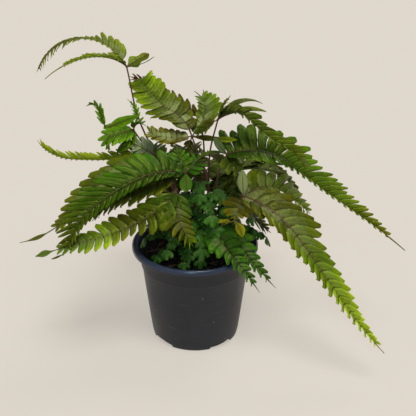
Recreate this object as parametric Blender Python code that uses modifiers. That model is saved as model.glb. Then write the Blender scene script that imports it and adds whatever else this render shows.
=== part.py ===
"""Potted tricolor brake fern: a Pteris in a 13 cm nursery pot.

Metres, +Z up. The origin is the middle of the pot's base, on the surface that it stands on.
The side that faces -Y is the front. Sizes are in millimetres below and scaled by MM.
"""

from math import cos, radians, sin

import bmesh
import bpy
import numpy as np
from mathutils import Vector

MM = 0.001

# Pot
POT_HEIGHT = 105.0
RIM_RADIUS = 64.5
LIP_HEIGHT = 6.0
BAND_FOOT = 81.0
BASE_RADIUS = 44.0
WALL = 1.2
FLOOR = 1.6
FOOT_RING_INNER = 33.0
FOOT_RING_HEIGHT = 6.6
NOTCH_HEIGHT = 5.0
NOTCH_ANGLE = 40.0
NOTCH_INNER = 40.0
NOTCH_LENGTH = 20.0
FEET = 4
FOOT_TURN = -6.0
POT_STEPS = 30
# Height above the base and radius of the pot's inner side
INNER_WALL = ((9.0, 43.4), (80.5, 53.4), (82.5, 54.3), (98.0, 56.3))
RIM_CHAMFER = 1.4
RIM_INNER_RADIUS = 60.0

# Soil
SOIL_LEVEL = 88.0
SOIL_GAP = 0.4
SOIL_RINGS = (40.0, 18.0)
SOIL_STEPS = 16
SOIL_BUMP = 1.0
HOLE_RADIUS = 2.1
HOLE_DEPTH = 9.0
HOLE_RISE = 5.0
HOLE_SIDES = 6

# Stalks
ROOTED_DEPTH = 7.0
STRAIGHT_LENGTH = 8.0
STALK_RADIUS = 1.3
STALK_TOP_RADIUS = 0.85
KNOT_RADIUS = 1.5
NODE_GAP = 0.35

# Blades
BLADE_THICKNESS = 0.6
RIB_HALF_WIDTH = 0.75
NOTCH_SHARE = 0.16
LONG_LOBE = 16.5
TOOTH = 4.5
LOBE_DROOP = 14.0
CROWDING = 1.15
RIB_STEPS = 120
# A lobe's two shoulders, near its back and its front edge: each one's share of the lobe's length,
# and how far it stands off its edge towards the leaflet's tip, as a share of the lobe's step
BACK_SHOULDER = (0.74, 0.08)
FRONT_SHOULDER = (0.7, -0.1)
TIP_FORWARD = 0.2
# How the lobes' length runs along a pinna, from its first lobe, whose share it gives itself, to its tip
OUTLINE_AT = (0.0, 0.12, 0.35, 0.6, 0.8, 0.93, 1.0)
OUTLINE_WIDTH = (0.94, 1.0, 0.82, 0.5, 0.24, 0.12)


def pinna(
    length, heading, pitch, lobes, width, lift=(25, 25), sweep=(28, 46), bare=4, tail=5, first=0.72
):
    """One lobed leaflet of a frond, which grows from the frond's knot.

    Heading and pitch are in degrees, at even steps from its base to its tip.
    Width is the reach of its longest lobes to the left and the right of the rib, or to both.
    Lift is how far the left and the right lobes stand above the level line across the rib,
    each one angle or a pair, at the base and at the tip. Sweep is how far the lobes lean
    towards the tip, at the base and at the tip. Bare and tail are the lengths with no lobes,
    and first is the share of the full width that the first lobe has.
    """
    widths = width if isinstance(width, tuple) else (width, width)
    lifts = [side if isinstance(side, tuple) else (side, side) for side in lift]
    return {
        "length": length,
        "heading": heading,
        "pitch": pitch,
        "lobes": lobes,
        "width": dict(zip((1, -1), widths)),
        "lift": dict(zip((1, -1), lifts)),
        "sweep": sweep,
        "bare": bare,
        "tail": tail,
        "outline": (first, *OUTLINE_WIDTH),
    }


# Each frond: where its stalk leaves the soil, the points that the stalk passes, of which the last
# is the knot, and its pinnae. Heading 0 is +X and 90 is +Y.
FRONT_FRONDS = {
    "high_left": {
        "foot": (-1, 29),
        "route": [(-18, 38, 138), (-55, 50, 213), (-68, 52, 275)],
        "pinnae": [
            pinna(
                121, (154, 186), (58, -73), 11, 12,
                lift=((25, -45), (30, -25)), sweep=(15, 45),
            ),
            pinna(
                98, (224, 195), (45, -41), 8, 7,
                lift=((25, -30), (25, -15)), sweep=(35, 55), tail=14,
            ),
            pinna(41, (64, 61), (-4, 1), 4, 8, lift=(30, 10)),
            pinna(17, (137, 55), (49, 43), 2, 4, lift=(0, 0)),
        ],
    },
    "upper_centre": {
        "foot": (7, 26),
        "route": [(12, 24, 135), (12, 22, 167), (-3, 30, 209)],
        "pinnae": [
            pinna(
                106, (136, 141, 145, 40), (68, 5, 47, -55), 8, (20, 21),
                lift=(-22, 12), sweep=(25, 38),
            ),
            pinna(73, (26, 146), (44, 3), 7, 13, lift=(15, 15)),
            pinna(49, (180, 199), (-18, 44), 6, 12, lift=(-5, 28)),
        ],
    },
    "arching_right": {
        "foot": (12, 31),
        "route": [(14, 31, 137), (15, 27, 190), (23, 18, 232)],
        "pinnae": [
            pinna(
                116, (352, 330, 337, 389), (55, -40, -22, -70), 10, (14, 10),
                lift=(30, 4), sweep=(28, 48),
            ),
            pinna(28, (4, 36), (78, 41), 3, 4, lift=(0, 0)),
            pinna(56, (37, 24), (50, -36), 4, 5, lift=(20, 20)),
        ],
    },
    "upper_right": {
        "foot": (14, 23),
        "route": [(18, 18, 135), (23, 13, 172), (32, 10, 198)],
        "pinnae": [
            pinna(
                217, (359, 352, 352, 354), (22, -40, -34, -41), 16, (28, 10),
                lift=(38, 8), sweep=(8, 52), tail=24, first=1,
            ),
            pinna(31, (183, 216), (30, -24), 4, 9, lift=(15, 15)),
            pinna(43, (309, 353), (-37, -48), 5, 12, lift=(15, 5)),
            pinna(22, (213, 209), (56, 54), 2, 5, lift=(0, 0)),
        ],
    },
    "right_front": {
        "foot": (8, 15),
        "route": [(15, 6, 126), (38, -18, 158), (48, -25, 168)],
        "pinnae": [
            pinna(
                213, (326, 327, 332, 344), (0, -47, -50, -45), 17, (25, 15),
                lift=(16, 12), sweep=(38, 50), tail=10,
            ),
            pinna(104, (36, 21, 3), (29, -40, -53), 9, (24, 12), lift=(32, 0)),
            pinna(37, (247, 241), (-23, -57), 5, 16, lift=(5, 5), sweep=(10, 35)),
            pinna(32, (256, 315), (80, 79), 2, 5, lift=(0, 0), bare=8),
        ],
    },
    "big_left": {
        "foot": (2, 20),
        "route": [(0, 8, 140), (-4, 2, 165), (-9, -5, 185)],
        "pinnae": [
            pinna(
                155, (202, 209, 208, 219), (21, -13, -30, -73), 13, (14, 20),
                lift=(8, 22), sweep=(15, 48),
            ),
            pinna(
                190, (162, 197, 210, 182), (19, -18, -44, -10), 8, (14, 20),
                lift=(0, 25), tail=22, bare=40,
            ),
            pinna(38, (245, 342), (71, 36), 4, 13),
            pinna(22, (278, 247), (-30, -50), 3, 9, lift=(5, 5)),
            pinna(107, (180, 202, 195), (-31, -8, -47), 6, 13, lift=(-10, 15), bare=16),
        ],
    },
    "far_left": {
        "foot": (-7, 23),
        "route": [(-17, 28, 147), (-41, 32, 187)],
        "pinnae": [
            pinna(
                128, (185, 198, 191, 203), (-7, 5, 9, 64), 11, 7.5,
                lift=(2, 2), sweep=(35, 55), bare=15, tail=9,
            ),
            pinna(30, (205, 225), (25, -5), 4, 7, lift=(10, 15), bare=6),
        ],
    },
    "lower_left": {
        "foot": (-4, 16),
        "route": [(-8, 3, 136), (-18, -15, 171)],
        "pinnae": [
            pinna(
                157, (229, 197, 202, 183), (-36, -20, -5, -19), 11, 15,
                lift=(-22, 28), sweep=(22, 42), tail=14, bare=14,
            ),
            pinna(59, (258, 350), (-48, -53), 7, 16, lift=(8, 8)),
        ],
    },
    "small_left": {
        "foot": (-6, 33),
        "route": [(-25, 32, 138), (-46, 37, 185), (-62, 37, 213)],
        "pinnae": [
            pinna(68, (164, 174, 128, 193), (5, -4, 90, -30), 6, 7),
            pinna(48, (55, -172, -159), (96, 1, -35), 4, 7, lift=(10, 10), bare=12),
            pinna(45, (239, 189, 341), (-18, 5, -83), 4, 9, lift=(-10, 10)),
            pinna(34, (208, 164, 161), (-80, -21, -77), 3, 6),
            pinna(35, (31, 197), (58, 51), 3, 5),
        ],
    },
    "draped_right": {
        "foot": (8, 8),
        "route": [(14, 0, 113), (19, -12, 124)],
        "pinnae": [
            pinna(88, (287, 340), (-8, -43), 7, 12, lift=(15, 5)),
            pinna(92, (310, 336), (2, -46), 7, 12, lift=(15, 5)),
        ],
    },
    "dark_right": {
        "foot": (17, 16),
        "route": [(28, 15, 128), (41, 14, 143)],
        "pinnae": [
            pinna(51, (9, -18), (-50, -34), 6, 12, lift=(20, 5)),
        ],
    },
}

BACK_FRONDS = {
    "back_left": {
        "foot": (-9, 39),
        "route": [(-24, 56, 138), (-38, 78, 160)],
        "pinnae": [
            pinna(82, (150, 168), (10, -68), 6, 14),
            pinna(84, (105, 112), (15, -66), 6, 14),
            pinna(52, (196, 190), (15, -50), 5, 11),
        ],
    },
    "back_centre": {
        "foot": (1, 42),
        "route": [(0, 68, 136), (-4, 92, 152)],
        "pinnae": [
            pinna(100, (100, 96), (12, -70), 8, 16),
            pinna(74, (148, 160), (8, -62), 6, 13),
            pinna(70, (55, 62), (8, -62), 6, 13),
        ],
    },
    "back_right": {
        "foot": (18, 37),
        "route": [(32, 56, 136), (46, 75, 150)],
        "pinnae": [
            pinna(84, (14, 4), (8, -66), 6, 13),
            pinna(92, (48, 55), (12, -68), 7, 14),
            pinna(56, (88, 92), (15, -50), 5, 10),
        ],
    },
    "low_back_right": {
        "foot": (22, 30),
        "route": [(29, 52, 112), (33, 66, 120)],
        "pinnae": [
            pinna(78, (72, 80), (6, -58), 6, 12),
            pinna(60, (22, 12), (6, -50), 5, 11),
        ],
    },
    "low_back_left": {
        "foot": (-15, 30),
        "route": [(-24, 48, 112), (-29, 64, 120)],
        "pinnae": [
            pinna(74, (128, 146), (6, -58), 6, 12),
            pinna(64, (98, 94), (6, -60), 5, 11),
        ],
    },
}

# Young fronds hold the lobes of the juvenile leaf: broad, blunt and few, on short green stalks.
YOUNG_FRONDS = {
    "young_left": {
        "foot": (-10, 13),
        "route": [(-18, 6, 108), (-22, 2, 118)],
        "pinnae": [pinna(40, (215, 205), (18, -40), 4, 10, lift=(5, 15), sweep=(10, 30))],
    },
    "young_front_left": {
        "foot": (-5, 8),
        "route": [(-9, -4, 112), (-12, -10, 122)],
        "pinnae": [pinna(44, (250, 240), (20, -55), 4, 11, lift=(8, 8), sweep=(10, 30))],
    },
    "young_front": {
        "foot": (2, 6),
        "route": [(2, -2, 112), (2, -6, 122)],
        "pinnae": [pinna(46, (276, 284), (8, -70), 4, 11, lift=(8, 8), sweep=(10, 30))],
    },
    "young_right": {
        "foot": (24, 15),
        "route": [(36, 12, 108), (43, 9, 114)],
        "pinnae": [pinna(38, (335, 345), (18, -50), 4, 10, lift=(10, 5), sweep=(10, 30))],
    },
    "young_centre": {
        "foot": (2, 14),
        "route": [(7, 13, 125), (8, 7, 150)],
        "pinnae": [pinna(42, (285, 275), (45, -60), 4, 11, lift=(8, 8), sweep=(10, 30))],
    },
}

BRONZE_FRONDS = {
    "bronze_centre": {
        "foot": (7, 38),
        "route": [(9, 52, 140), (9, 70, 180), (5, 85, 205)],
        "pinnae": [
            pinna(42, (120, 150), (75, 35), 4, 5),
            pinna(30, (60, 90), (60, 40), 3, 4),
        ],
    },
}


# Scene and materials


def clear_scene():
    for obj in list(bpy.data.objects):
        bpy.data.objects.remove(obj)


def new_collection(name, hidden=False):
    collection = bpy.data.collections.new(name)
    collection.hide_render = hidden
    bpy.context.scene.collection.children.link(collection)
    return collection


def principled(name, colour, roughness, metallic=0.0):
    material = bpy.data.materials.new(name)
    material.use_nodes = True
    shader = material.node_tree.nodes["Principled BSDF"]
    shader.inputs["Base Color"].default_value = (*colour, 1)
    shader.inputs["Roughness"].default_value = roughness
    shader.inputs["Metallic"].default_value = metallic
    return material


def put_in(obj, collection):
    for owner in list(obj.users_collection):
        owner.objects.unlink(obj)
    collection.objects.link(obj)
    return obj


def mesh_object(name, vertices, edges, faces, collection, material):
    mesh = bpy.data.meshes.new(name)
    mesh.from_pydata([Vector(vertex) * MM for vertex in vertices], edges, faces)
    mesh.materials.append(material)
    return put_in(bpy.data.objects.new(name, mesh), collection)


def make_real(obj):
    """Replaces an object by the closed mesh that its modifiers or its bevel give it."""
    bpy.context.view_layer.update()
    mesh = bpy.data.meshes.new_from_object(obj.evaluated_get(bpy.context.evaluated_depsgraph_get()))
    name, collection, matrix = obj.name, obj.users_collection[0], obj.matrix_world.copy()
    bpy.data.objects.remove(obj)
    work = bmesh.new()
    work.from_mesh(mesh)
    bmesh.ops.remove_doubles(work, verts=work.verts, dist=1e-6)
    bmesh.ops.triangulate(work, faces=work.faces)
    bmesh.ops.recalc_face_normals(work, faces=work.faces)
    work.to_mesh(mesh)
    work.free()
    real = put_in(bpy.data.objects.new(name, mesh), collection)
    real.matrix_world = matrix
    return real


def boolean(obj, name, operation, collection, solver="EXACT"):
    modifier = obj.modifiers.new(name, "BOOLEAN")
    modifier.operation = operation
    modifier.operand_type = "COLLECTION"
    modifier.collection = collection
    modifier.solver = solver


def fuse(name, first, others):
    """Joins the others to the first in one Boolean union, applies it and removes them."""
    helpers = new_collection(name + "_pieces")
    for other in others:
        put_in(other, helpers)
    boolean(first, "join pieces", "UNION", helpers, "MANIFOLD")
    whole = make_real(first)
    whole.name = name
    for other in list(helpers.objects):
        bpy.data.objects.remove(other)
    bpy.data.collections.remove(helpers)
    return whole


# Stalks


def smooth_route(points, steps=2):
    """A Catmull-Rom curve through the points."""
    ends = [points[0] * 2 - points[1], *points, points[-1] * 2 - points[-2]]
    route = [points[0]]
    for before, start, end, after in zip(ends, ends[1:], ends[2:], ends[3:]):
        for step in range(1, steps + 1):
            t = step / steps
            slope = (end - before) * t
            bend = (before * 2 - start * 5 + end * 4 - after) * t**2
            turn = (start * 3 - before - end * 3 + after) * t**3
            route.append((start * 2 + slope + bend + turn) / 2)
    return route


def way_out(frond):
    """Where the frond's stalk leaves the soil, and the direction that it leaves in."""
    ground = Vector((*frond["foot"], SOIL_LEVEL))
    return ground, (Vector(frond["route"][0]) - ground).normalized()


def stalk(name, frond, top_gap, collection, material):
    """A tapered tube: straight up through its hole in the soil, then along its route."""
    ground, out = way_out(frond)
    points = [Vector(point) for point in frond["route"]]
    points = smooth_route([ground + out * STRAIGHT_LENGTH, *points])
    points[-1] -= (points[-1] - points[-2]).normalized() * top_gap
    points.insert(0, ground - out * ROOTED_DEPTH)
    curve = bpy.data.curves.new(name, "CURVE")
    curve.dimensions = "3D"
    curve.bevel_depth = STALK_RADIUS * MM
    curve.bevel_resolution = 1
    curve.use_fill_caps = True
    spline = curve.splines.new("POLY")
    spline.points.add(len(points) - 1)
    for index, point in enumerate(points):
        taper = index / (len(points) - 1) * (1 - STALK_TOP_RADIUS / STALK_RADIUS)
        spline.points[index].co = (*(point * MM), 1)
        spline.points[index].radius = 1 - taper
    curve.materials.append(material)
    return put_in(bpy.data.objects.new(name, curve), collection)


# Pinnae


def rib_frames(start, leaf, distances):
    """Point, direction and level cross line of the rib at each distance from its base."""
    middle = (np.arange(RIB_STEPS) + 0.5) / RIB_STEPS
    even = np.linspace(0, 1, len(leaf["heading"]))
    heading = np.radians(np.interp(middle, even, leaf["heading"]))
    pitch = np.radians(np.interp(middle, even, leaf["pitch"]))
    level = np.cos(pitch)
    way = np.stack([level * np.cos(heading), level * np.sin(heading), np.sin(pitch)], axis=1)
    points = np.vstack([np.zeros(3), np.cumsum(way, axis=0) * leaf["length"] / RIB_STEPS])
    along = np.linspace(0, leaf["length"], RIB_STEPS + 1)
    frames = []
    for distance in distances:
        share = distance / leaf["length"]
        turn = radians(np.interp(share, even, leaf["heading"]))
        rise = radians(np.interp(share, even, leaf["pitch"]))
        offset = Vector([np.interp(distance, along, points[:, axis]) for axis in range(3)])
        forward = Vector((cos(rise) * cos(turn), cos(rise) * sin(turn), sin(rise)))
        frames.append((start + offset, forward, Vector((-sin(turn), cos(turn), 0))))
    return frames


def side_vector(frame, side, lift):
    """Unit vector that leaves the rib on its left (1) or its right (-1), lifted above the level."""
    forward, across = frame[1], frame[2]
    return across * side * cos(radians(lift)) + forward.cross(across) * sin(radians(lift))


def blend(pair, share):
    return pair[0] + (pair[1] - pair[0]) * share


def pinna_sheet(start, leaf):
    """Vertices and triangles of a pinna's open surface, cut into lobes to near its rib."""
    lobes = leaf["lobes"]
    lobed = leaf["length"] - leaf["bare"] - leaf["tail"]
    stations = [leaf["bare"] + lobed * (1 - (1 - k / lobes) ** CROWDING) for k in range(lobes + 1)]
    distances = [0.0, *stations, leaf["length"]]
    frames = rib_frames(start, leaf, distances)
    vertices = [frame[0] for frame in frames]
    faces = []

    def add(point):
        vertices.append(point)
        return len(vertices) - 1

    def face(side, *corners):
        faces.append(corners if side > 0 else corners[::-1])

    for side in (1, -1):
        notch = []
        for k, frame in enumerate(frames[:-1]):
            share = (distances[k] - leaf["bare"]) / lobed
            reach = leaf["width"][side] * float(np.interp(share, OUTLINE_AT, leaf["outline"]))
            narrow = k == 0 or k == lobes + 1
            width = RIB_HALF_WIDTH if narrow else max(RIB_HALF_WIDTH, NOTCH_SHARE * reach)
            lift = blend(leaf["lift"][side], distances[k] / leaf["length"])
            notch.append(add(frame[0] + side_vector(frame, side, lift) * width))
        face(side, 0, 1, notch[1])
        face(side, 0, notch[1], notch[0])
        for k in range(1, lobes + 1):
            forward = frames[k][1]
            step = distances[k + 1] - distances[k]
            share = (distances[k] + step / 2 - leaf["bare"]) / lobed
            reach = leaf["width"][side] * float(np.interp(share, OUTLINE_AT, leaf["outline"]))
            lean = radians(blend(leaf["sweep"], share))
            lift = blend(leaf["lift"][side], distances[k] / leaf["length"])
            flat = side_vector(frames[k], side, lift) * cos(lean) + forward * sin(lean)
            drooped = side_vector(frames[k], side, lift - LOBE_DROOP) * cos(lean) + forward * sin(lean)
            length = reach / cos(lean)
            back, front = vertices[notch[k]], vertices[notch[k + 1]]
            end = (flat + drooped) / 2 * length + forward * step * TIP_FORWARD
            tip = add((back + front) / 2 + end)
            face(side, k, k + 1, notch[k + 1])
            face(side, k, notch[k + 1], notch[k])
            if reach < TOOTH:
                face(side, notch[k], notch[k + 1], tip)
                continue
            out, ahead = BACK_SHOULDER
            shoulder = add(back + flat * length * out + forward * step * ahead)
            if reach > LONG_LOBE:
                out, ahead = FRONT_SHOULDER
                brow = add(front + flat * length * out + forward * step * ahead)
                face(side, notch[k], notch[k + 1], brow)
                face(side, notch[k], brow, shoulder)
                face(side, shoulder, brow, tip)
            else:
                face(side, notch[k], notch[k + 1], tip)
                face(side, notch[k], tip, shoulder)
        face(side, lobes + 1, lobes + 2, notch[lobes + 1])
    return vertices, faces


def pinna_solid(name, start, leaf, collection, material):
    vertices, faces = pinna_sheet(start, leaf)
    blade = mesh_object(name, vertices, [], faces, collection, material)
    thicken = blade.modifiers.new("leaf thickness", "SOLIDIFY")
    thicken.thickness = BLADE_THICKNESS * MM
    thicken.offset = 0
    return make_real(blade)


def blades(name, frond, collection, material):
    """The knot at the top of the stalk, and the pinnae that grow from it."""
    top = Vector(frond["route"][-1])
    bpy.ops.mesh.primitive_ico_sphere_add(subdivisions=1, radius=KNOT_RADIUS * MM, location=top * MM)
    knot = put_in(bpy.context.object, collection)
    knot.name = name
    knot.data.materials.append(material)
    pieces = [
        pinna_solid(f"{name}_{number}", top, leaf, collection, material)
        for number, leaf in enumerate(frond["pinnae"])
    ]
    return knot, pieces


def make_fronds(fronds, collection, stalk_material, leaf_material):
    """Grown fronds: the stalk and the green blade are two nodes."""
    for name, frond in fronds.items():
        stalk(name + "_stalk", frond, KNOT_RADIUS + NODE_GAP, collection, stalk_material)
        knot, pieces = blades(name + "_blade", frond, collection, leaf_material)
        fuse(name + "_blade", knot, pieces)


def make_whole_fronds(fronds, collection, material):
    """Young fronds: the stalk and the leaf have one colour and are one node."""
    for name, frond in fronds.items():
        stem = make_real(stalk(name + "_stem", frond, 0, collection, material))
        knot, pieces = blades(name + "_knot", frond, collection, material)
        fuse(name, stem, [knot, *pieces])


# Pot and soil


def inner_wall(height):
    """Radius of the pot's inner side at a height above the base."""
    return float(np.interp(height, *zip(*INNER_WALL)))


def turned(name, profile, steps, collection, material):
    """A profile of (radius, height) turned round the pot's axis."""
    vertices = [(radius, 0, height) for radius, height in profile]
    edges = [(index, index + 1) for index in range(len(vertices) - 1)]
    obj = mesh_object(name, vertices, edges, [], collection, material)
    screw = obj.modifiers.new("turn", "SCREW")
    screw.axis = "Z"
    screw.steps = steps
    screw.render_steps = steps
    screw.use_merge_vertices = True
    screw.merge_threshold = 0.00001
    return make_real(obj)


def make_pot(collection, material):
    skirt = POT_HEIGHT - LIP_HEIGHT
    corner = POT_HEIGHT - RIM_CHAMFER
    under = corner - WALL
    inside = [(0, FLOOR), (FOOT_RING_INNER - 1, FLOOR), (FOOT_RING_INNER, FOOT_RING_HEIGHT)]
    inside += [(inner_wall(9) - 0.8, FOOT_RING_HEIGHT)]
    inside += [(radius, height) for height, radius in INNER_WALL]
    lip = [(RIM_INNER_RADIUS - 2, corner), (RIM_INNER_RADIUS, POT_HEIGHT)]
    lip += [(RIM_RADIUS - 1.9, POT_HEIGHT), (RIM_RADIUS, corner), (RIM_RADIUS, skirt)]
    lip += [(RIM_RADIUS - WALL, skirt), (RIM_RADIUS - WALL, under), (RIM_INNER_RADIUS - 1.8, under - 0.4)]
    outside = [(inner_wall(98) + WALL, 98), (inner_wall(BAND_FOOT) + 2, BAND_FOOT + 0.5)]
    outside += [(inner_wall(BAND_FOOT) + 1, BAND_FOOT), (BASE_RADIUS + WALL, 8)]
    outside += [(BASE_RADIUS, 1.8), (BASE_RADIUS - RIM_CHAMFER, 0), (0, 0)]
    pot = turned("pot", inside + lip + outside, POT_STEPS, collection, material)
    cutters = new_collection("pot_cutters", hidden=True)
    width = 2 * BASE_RADIUS * sin(radians(NOTCH_ANGLE / 2))
    for foot in range(FEET):
        angle = radians(-90 + FOOT_TURN + (foot + 0.5) * 360 / FEET)
        middle = Vector((cos(angle), sin(angle), 0)) * (NOTCH_INNER + NOTCH_LENGTH / 2)
        bpy.ops.mesh.primitive_cube_add(size=MM, location=middle * MM, rotation=(0, 0, angle))
        cutter = put_in(bpy.context.object, cutters)
        cutter.name = f"notch_{foot}"
        cutter.scale = (NOTCH_LENGTH, width, NOTCH_HEIGHT * 2)
        cutter.hide_render = True
        cutter.display_type = "WIRE"
    boolean(pot, "notches between the feet", "DIFFERENCE", cutters)
    pot.data.shade_smooth()
    pot.data.set_sharp_from_angle(angle=radians(30))


def make_soil(fronds, collection, material):
    edge = inner_wall(SOIL_LEVEL) - SOIL_GAP
    plug = FOOT_RING_INNER - 1 - SOIL_GAP
    top = [(0, SOIL_LEVEL), *((radius, SOIL_LEVEL) for radius in reversed(SOIL_RINGS)), (edge, SOIL_LEVEL)]
    side = [(inner_wall(82.5) - SOIL_GAP, 82.3), (inner_wall(80.5) - SOIL_GAP, 80.3)]
    side += [(inner_wall(9) - SOIL_GAP, 9), (42.0, FOOT_RING_HEIGHT + SOIL_GAP)]
    bottom = [(plug, FOOT_RING_HEIGHT + SOIL_GAP), (plug - 1, FLOOR + SOIL_GAP), (0, FLOOR + SOIL_GAP)]
    soil = turned("soil", top + side + bottom, SOIL_STEPS, collection, material)
    for vertex in soil.data.vertices:
        x, y, z = vertex.co / MM
        if z > SOIL_LEVEL - 0.1 and x * x + y * y < (edge - 1) ** 2:
            wave = sin(x * 0.21 + 1) * cos(y * 0.17) + 0.5 * sin(x * 0.09 - y * 0.14)
            vertex.co.z += SOIL_BUMP * wave * MM
    cutters = new_collection("soil_cutters", hidden=True)
    for name, frond in fronds.items():
        ground, out = way_out(frond)
        middle = ground + out * (HOLE_RISE - HOLE_DEPTH) / 2
        turn = Vector((0, 0, 1)).rotation_difference(out).to_euler()
        bpy.ops.mesh.primitive_cylinder_add(
            vertices=HOLE_SIDES,
            radius=HOLE_RADIUS * MM,
            depth=(HOLE_RISE + HOLE_DEPTH) * MM,
            location=middle * MM,
            rotation=turn,
        )
        cutter = put_in(bpy.context.object, cutters)
        cutter.name = name + "_hole"
        cutter.hide_render = True
        cutter.display_type = "WIRE"
    boolean(soil, "holes for the stalks", "DIFFERENCE", cutters)


def main():
    clear_scene()
    plant = new_collection("potted_tricolor_brake_fern")
    make_pot(plant, principled("pot black", (0.03, 0.03, 0.033), 0.42))
    grown = {**FRONT_FRONDS, **BACK_FRONDS}
    every = {**grown, **YOUNG_FRONDS, **BRONZE_FRONDS}
    make_soil(every, plant, principled("soil brown", (0.035, 0.022, 0.014), 0.95))
    leaf = principled("leaf green", (0.12, 0.26, 0.04), 0.5)
    make_fronds(grown, plant, principled("stalk red brown", (0.10, 0.035, 0.02), 0.4), leaf)
    make_whole_fronds(YOUNG_FRONDS, plant, principled("young green", (0.07, 0.24, 0.06), 0.5))
    make_whole_fronds(BRONZE_FRONDS, plant, principled("young bronze", (0.16, 0.07, 0.03), 0.5))


main()
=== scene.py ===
"""Looks of the potted tricolor brake fern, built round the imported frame.

Metres, +Z up, the front towards -Y. Sizes are written in millimetres and scaled by MM.
"""

from math import cos, pi, radians, sin

import bmesh
import bpy
import numpy as np
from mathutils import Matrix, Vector, noise


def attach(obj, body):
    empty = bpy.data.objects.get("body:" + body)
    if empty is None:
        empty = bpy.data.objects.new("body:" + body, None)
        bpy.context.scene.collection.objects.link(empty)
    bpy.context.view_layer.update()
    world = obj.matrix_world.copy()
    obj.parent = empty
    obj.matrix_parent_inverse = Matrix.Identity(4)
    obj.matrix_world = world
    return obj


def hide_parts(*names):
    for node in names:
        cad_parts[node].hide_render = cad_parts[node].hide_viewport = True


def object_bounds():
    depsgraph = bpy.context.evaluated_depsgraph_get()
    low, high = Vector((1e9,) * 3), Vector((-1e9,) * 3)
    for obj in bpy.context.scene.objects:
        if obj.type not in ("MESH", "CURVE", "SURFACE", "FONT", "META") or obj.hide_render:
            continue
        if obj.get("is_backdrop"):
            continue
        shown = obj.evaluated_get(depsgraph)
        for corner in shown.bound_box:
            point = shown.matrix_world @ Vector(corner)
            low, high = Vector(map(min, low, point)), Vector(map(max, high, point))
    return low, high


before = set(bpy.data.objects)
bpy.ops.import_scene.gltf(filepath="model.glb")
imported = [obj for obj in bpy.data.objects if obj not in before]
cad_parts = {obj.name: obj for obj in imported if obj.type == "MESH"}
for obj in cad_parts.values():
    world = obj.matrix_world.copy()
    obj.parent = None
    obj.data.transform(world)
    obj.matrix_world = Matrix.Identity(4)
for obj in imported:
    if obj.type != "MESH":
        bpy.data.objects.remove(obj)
cad_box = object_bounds()
MM = 0.001


# The pot is a 13 cm nursery pot, moulded thin in black polypropylene in one piece.
# A band and a turned-out lip stiffen its mouth. It stands on a flat ring with four notches,
# and drains through round holes in its floor.

POT_HEIGHT = 105.0
LIP_RADIUS = 64.5
LIP_FOOT = 99.0
BAND_FOOT = 81.0
POT_TURNS = 192
NOTCH_HEIGHT = 5.0
NOTCH_HALF_ANGLE = 20.0
NOTCH_SLOPE = 5.0
NOTCH_INNER = 40.0
FEET = 4
FOOT_TURN = -6.0
DRAINS = 8
DRAIN_RING = 23.0
DRAIN_RADIUS = 3.2
DRAIN_SIDES = 24
DRILL_LENGTH = 12.0
# Radius and height of its section, from the middle underneath, up the outside, and down the inside
POT_SECTION = (
    (0.0, 1.2), (33.0, 1.2), (34.5, 0.9), (35.2, 0.0), (39.8, 0.0), (40.2, 0.0), (41.8, 0.0),
    (42.9, 0.5), (43.7, 1.5), (44.1, 3.0), (44.6, 5.2), (45.2, 8.0), (48.1, 30.0), (51.4, 56.0),
    (54.2, 80.0), (54.6, BAND_FOOT), (55.4, 81.7), (56.3, 89.0), (57.2, 97.2), (57.8, 98.4),
    (60.6, 98.9), (63.6, LIP_FOOT), (64.3, 99.3), (LIP_RADIUS, 100.2), (LIP_RADIUS, 102.4),
    (64.1, 103.9), (62.9, POT_HEIGHT), (60.8, POT_HEIGHT), (59.1, 104.3), (57.7, 102.6),
    (56.8, 99.6), (56.2, 96.0), (54.3, 82.4), (53.4, 80.4), (49.0, 50.0), (43.4, 8.0),
    (42.0, 3.0), (0.0, 2.8),
)


def colour(red, green, blue):
    """The linear colour of an 8-bit screen colour."""
    return tuple(((part / 255 + 0.055) / 1.055) ** 2.4 for part in (red, green, blue))


def node(tree, kind, inputs=(), **settings):
    """A shader node with its settings, and with its inputs set or linked."""
    made = tree.nodes.new("ShaderNode" + kind)
    for name, value in settings.items():
        setattr(made, name, value)
    for socket, value in dict(inputs).items():
        if isinstance(value, bpy.types.NodeSocket):
            tree.links.new(value, made.inputs[socket])
        else:
            made.inputs[socket].default_value = value
    return made


def maths(tree, operation, *values):
    return node(tree, "Math", enumerate(values), operation=operation).outputs[0]


def ramp(tree, value, low, high, start=0.0, end=1.0):
    """Runs smoothly from start to end while the value goes from low to high."""
    inputs = {"Value": value, "From Min": low, "From Max": high, "To Min": start, "To Max": end}
    return node(tree, "MapRange", inputs, interpolation_type="SMOOTHSTEP").outputs[0]


def blended(tree, share, first, second, kind="MIX"):
    """A mix of two colours, each a linear colour or a socket."""
    first, second = [(*c, 1) if isinstance(c, tuple) else c for c in (first, second)]
    inputs = {0: share, 6: first, 7: second}
    return node(tree, "Mix", inputs, data_type="RGBA", blend_type=kind).outputs[2]


def new_effect(name, inputs, outputs):
    """An empty shader node group. Gives the group, its inputs and a call that sets an output."""
    group = bpy.data.node_groups.new(name, "ShaderNodeTree")
    for way, sockets in (("INPUT", inputs), ("OUTPUT", outputs)):
        for socket in sockets:
            kind = "NodeSocketVector" if socket in ("Position", "Stretch") else "NodeSocketFloat"
            group.interface.new_socket(socket, in_out=way, socket_type=kind)
    given = group.nodes.new("NodeGroupInput").outputs
    result = group.nodes.new("NodeGroupOutput").inputs
    return group, given, lambda socket, value: group.links.new(value, result[socket])


def effect(tree, group, **inputs):
    """Places an effect in a material with its own values and returns its outputs."""
    return node(tree, "Group", inputs, node_tree=group).outputs


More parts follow.
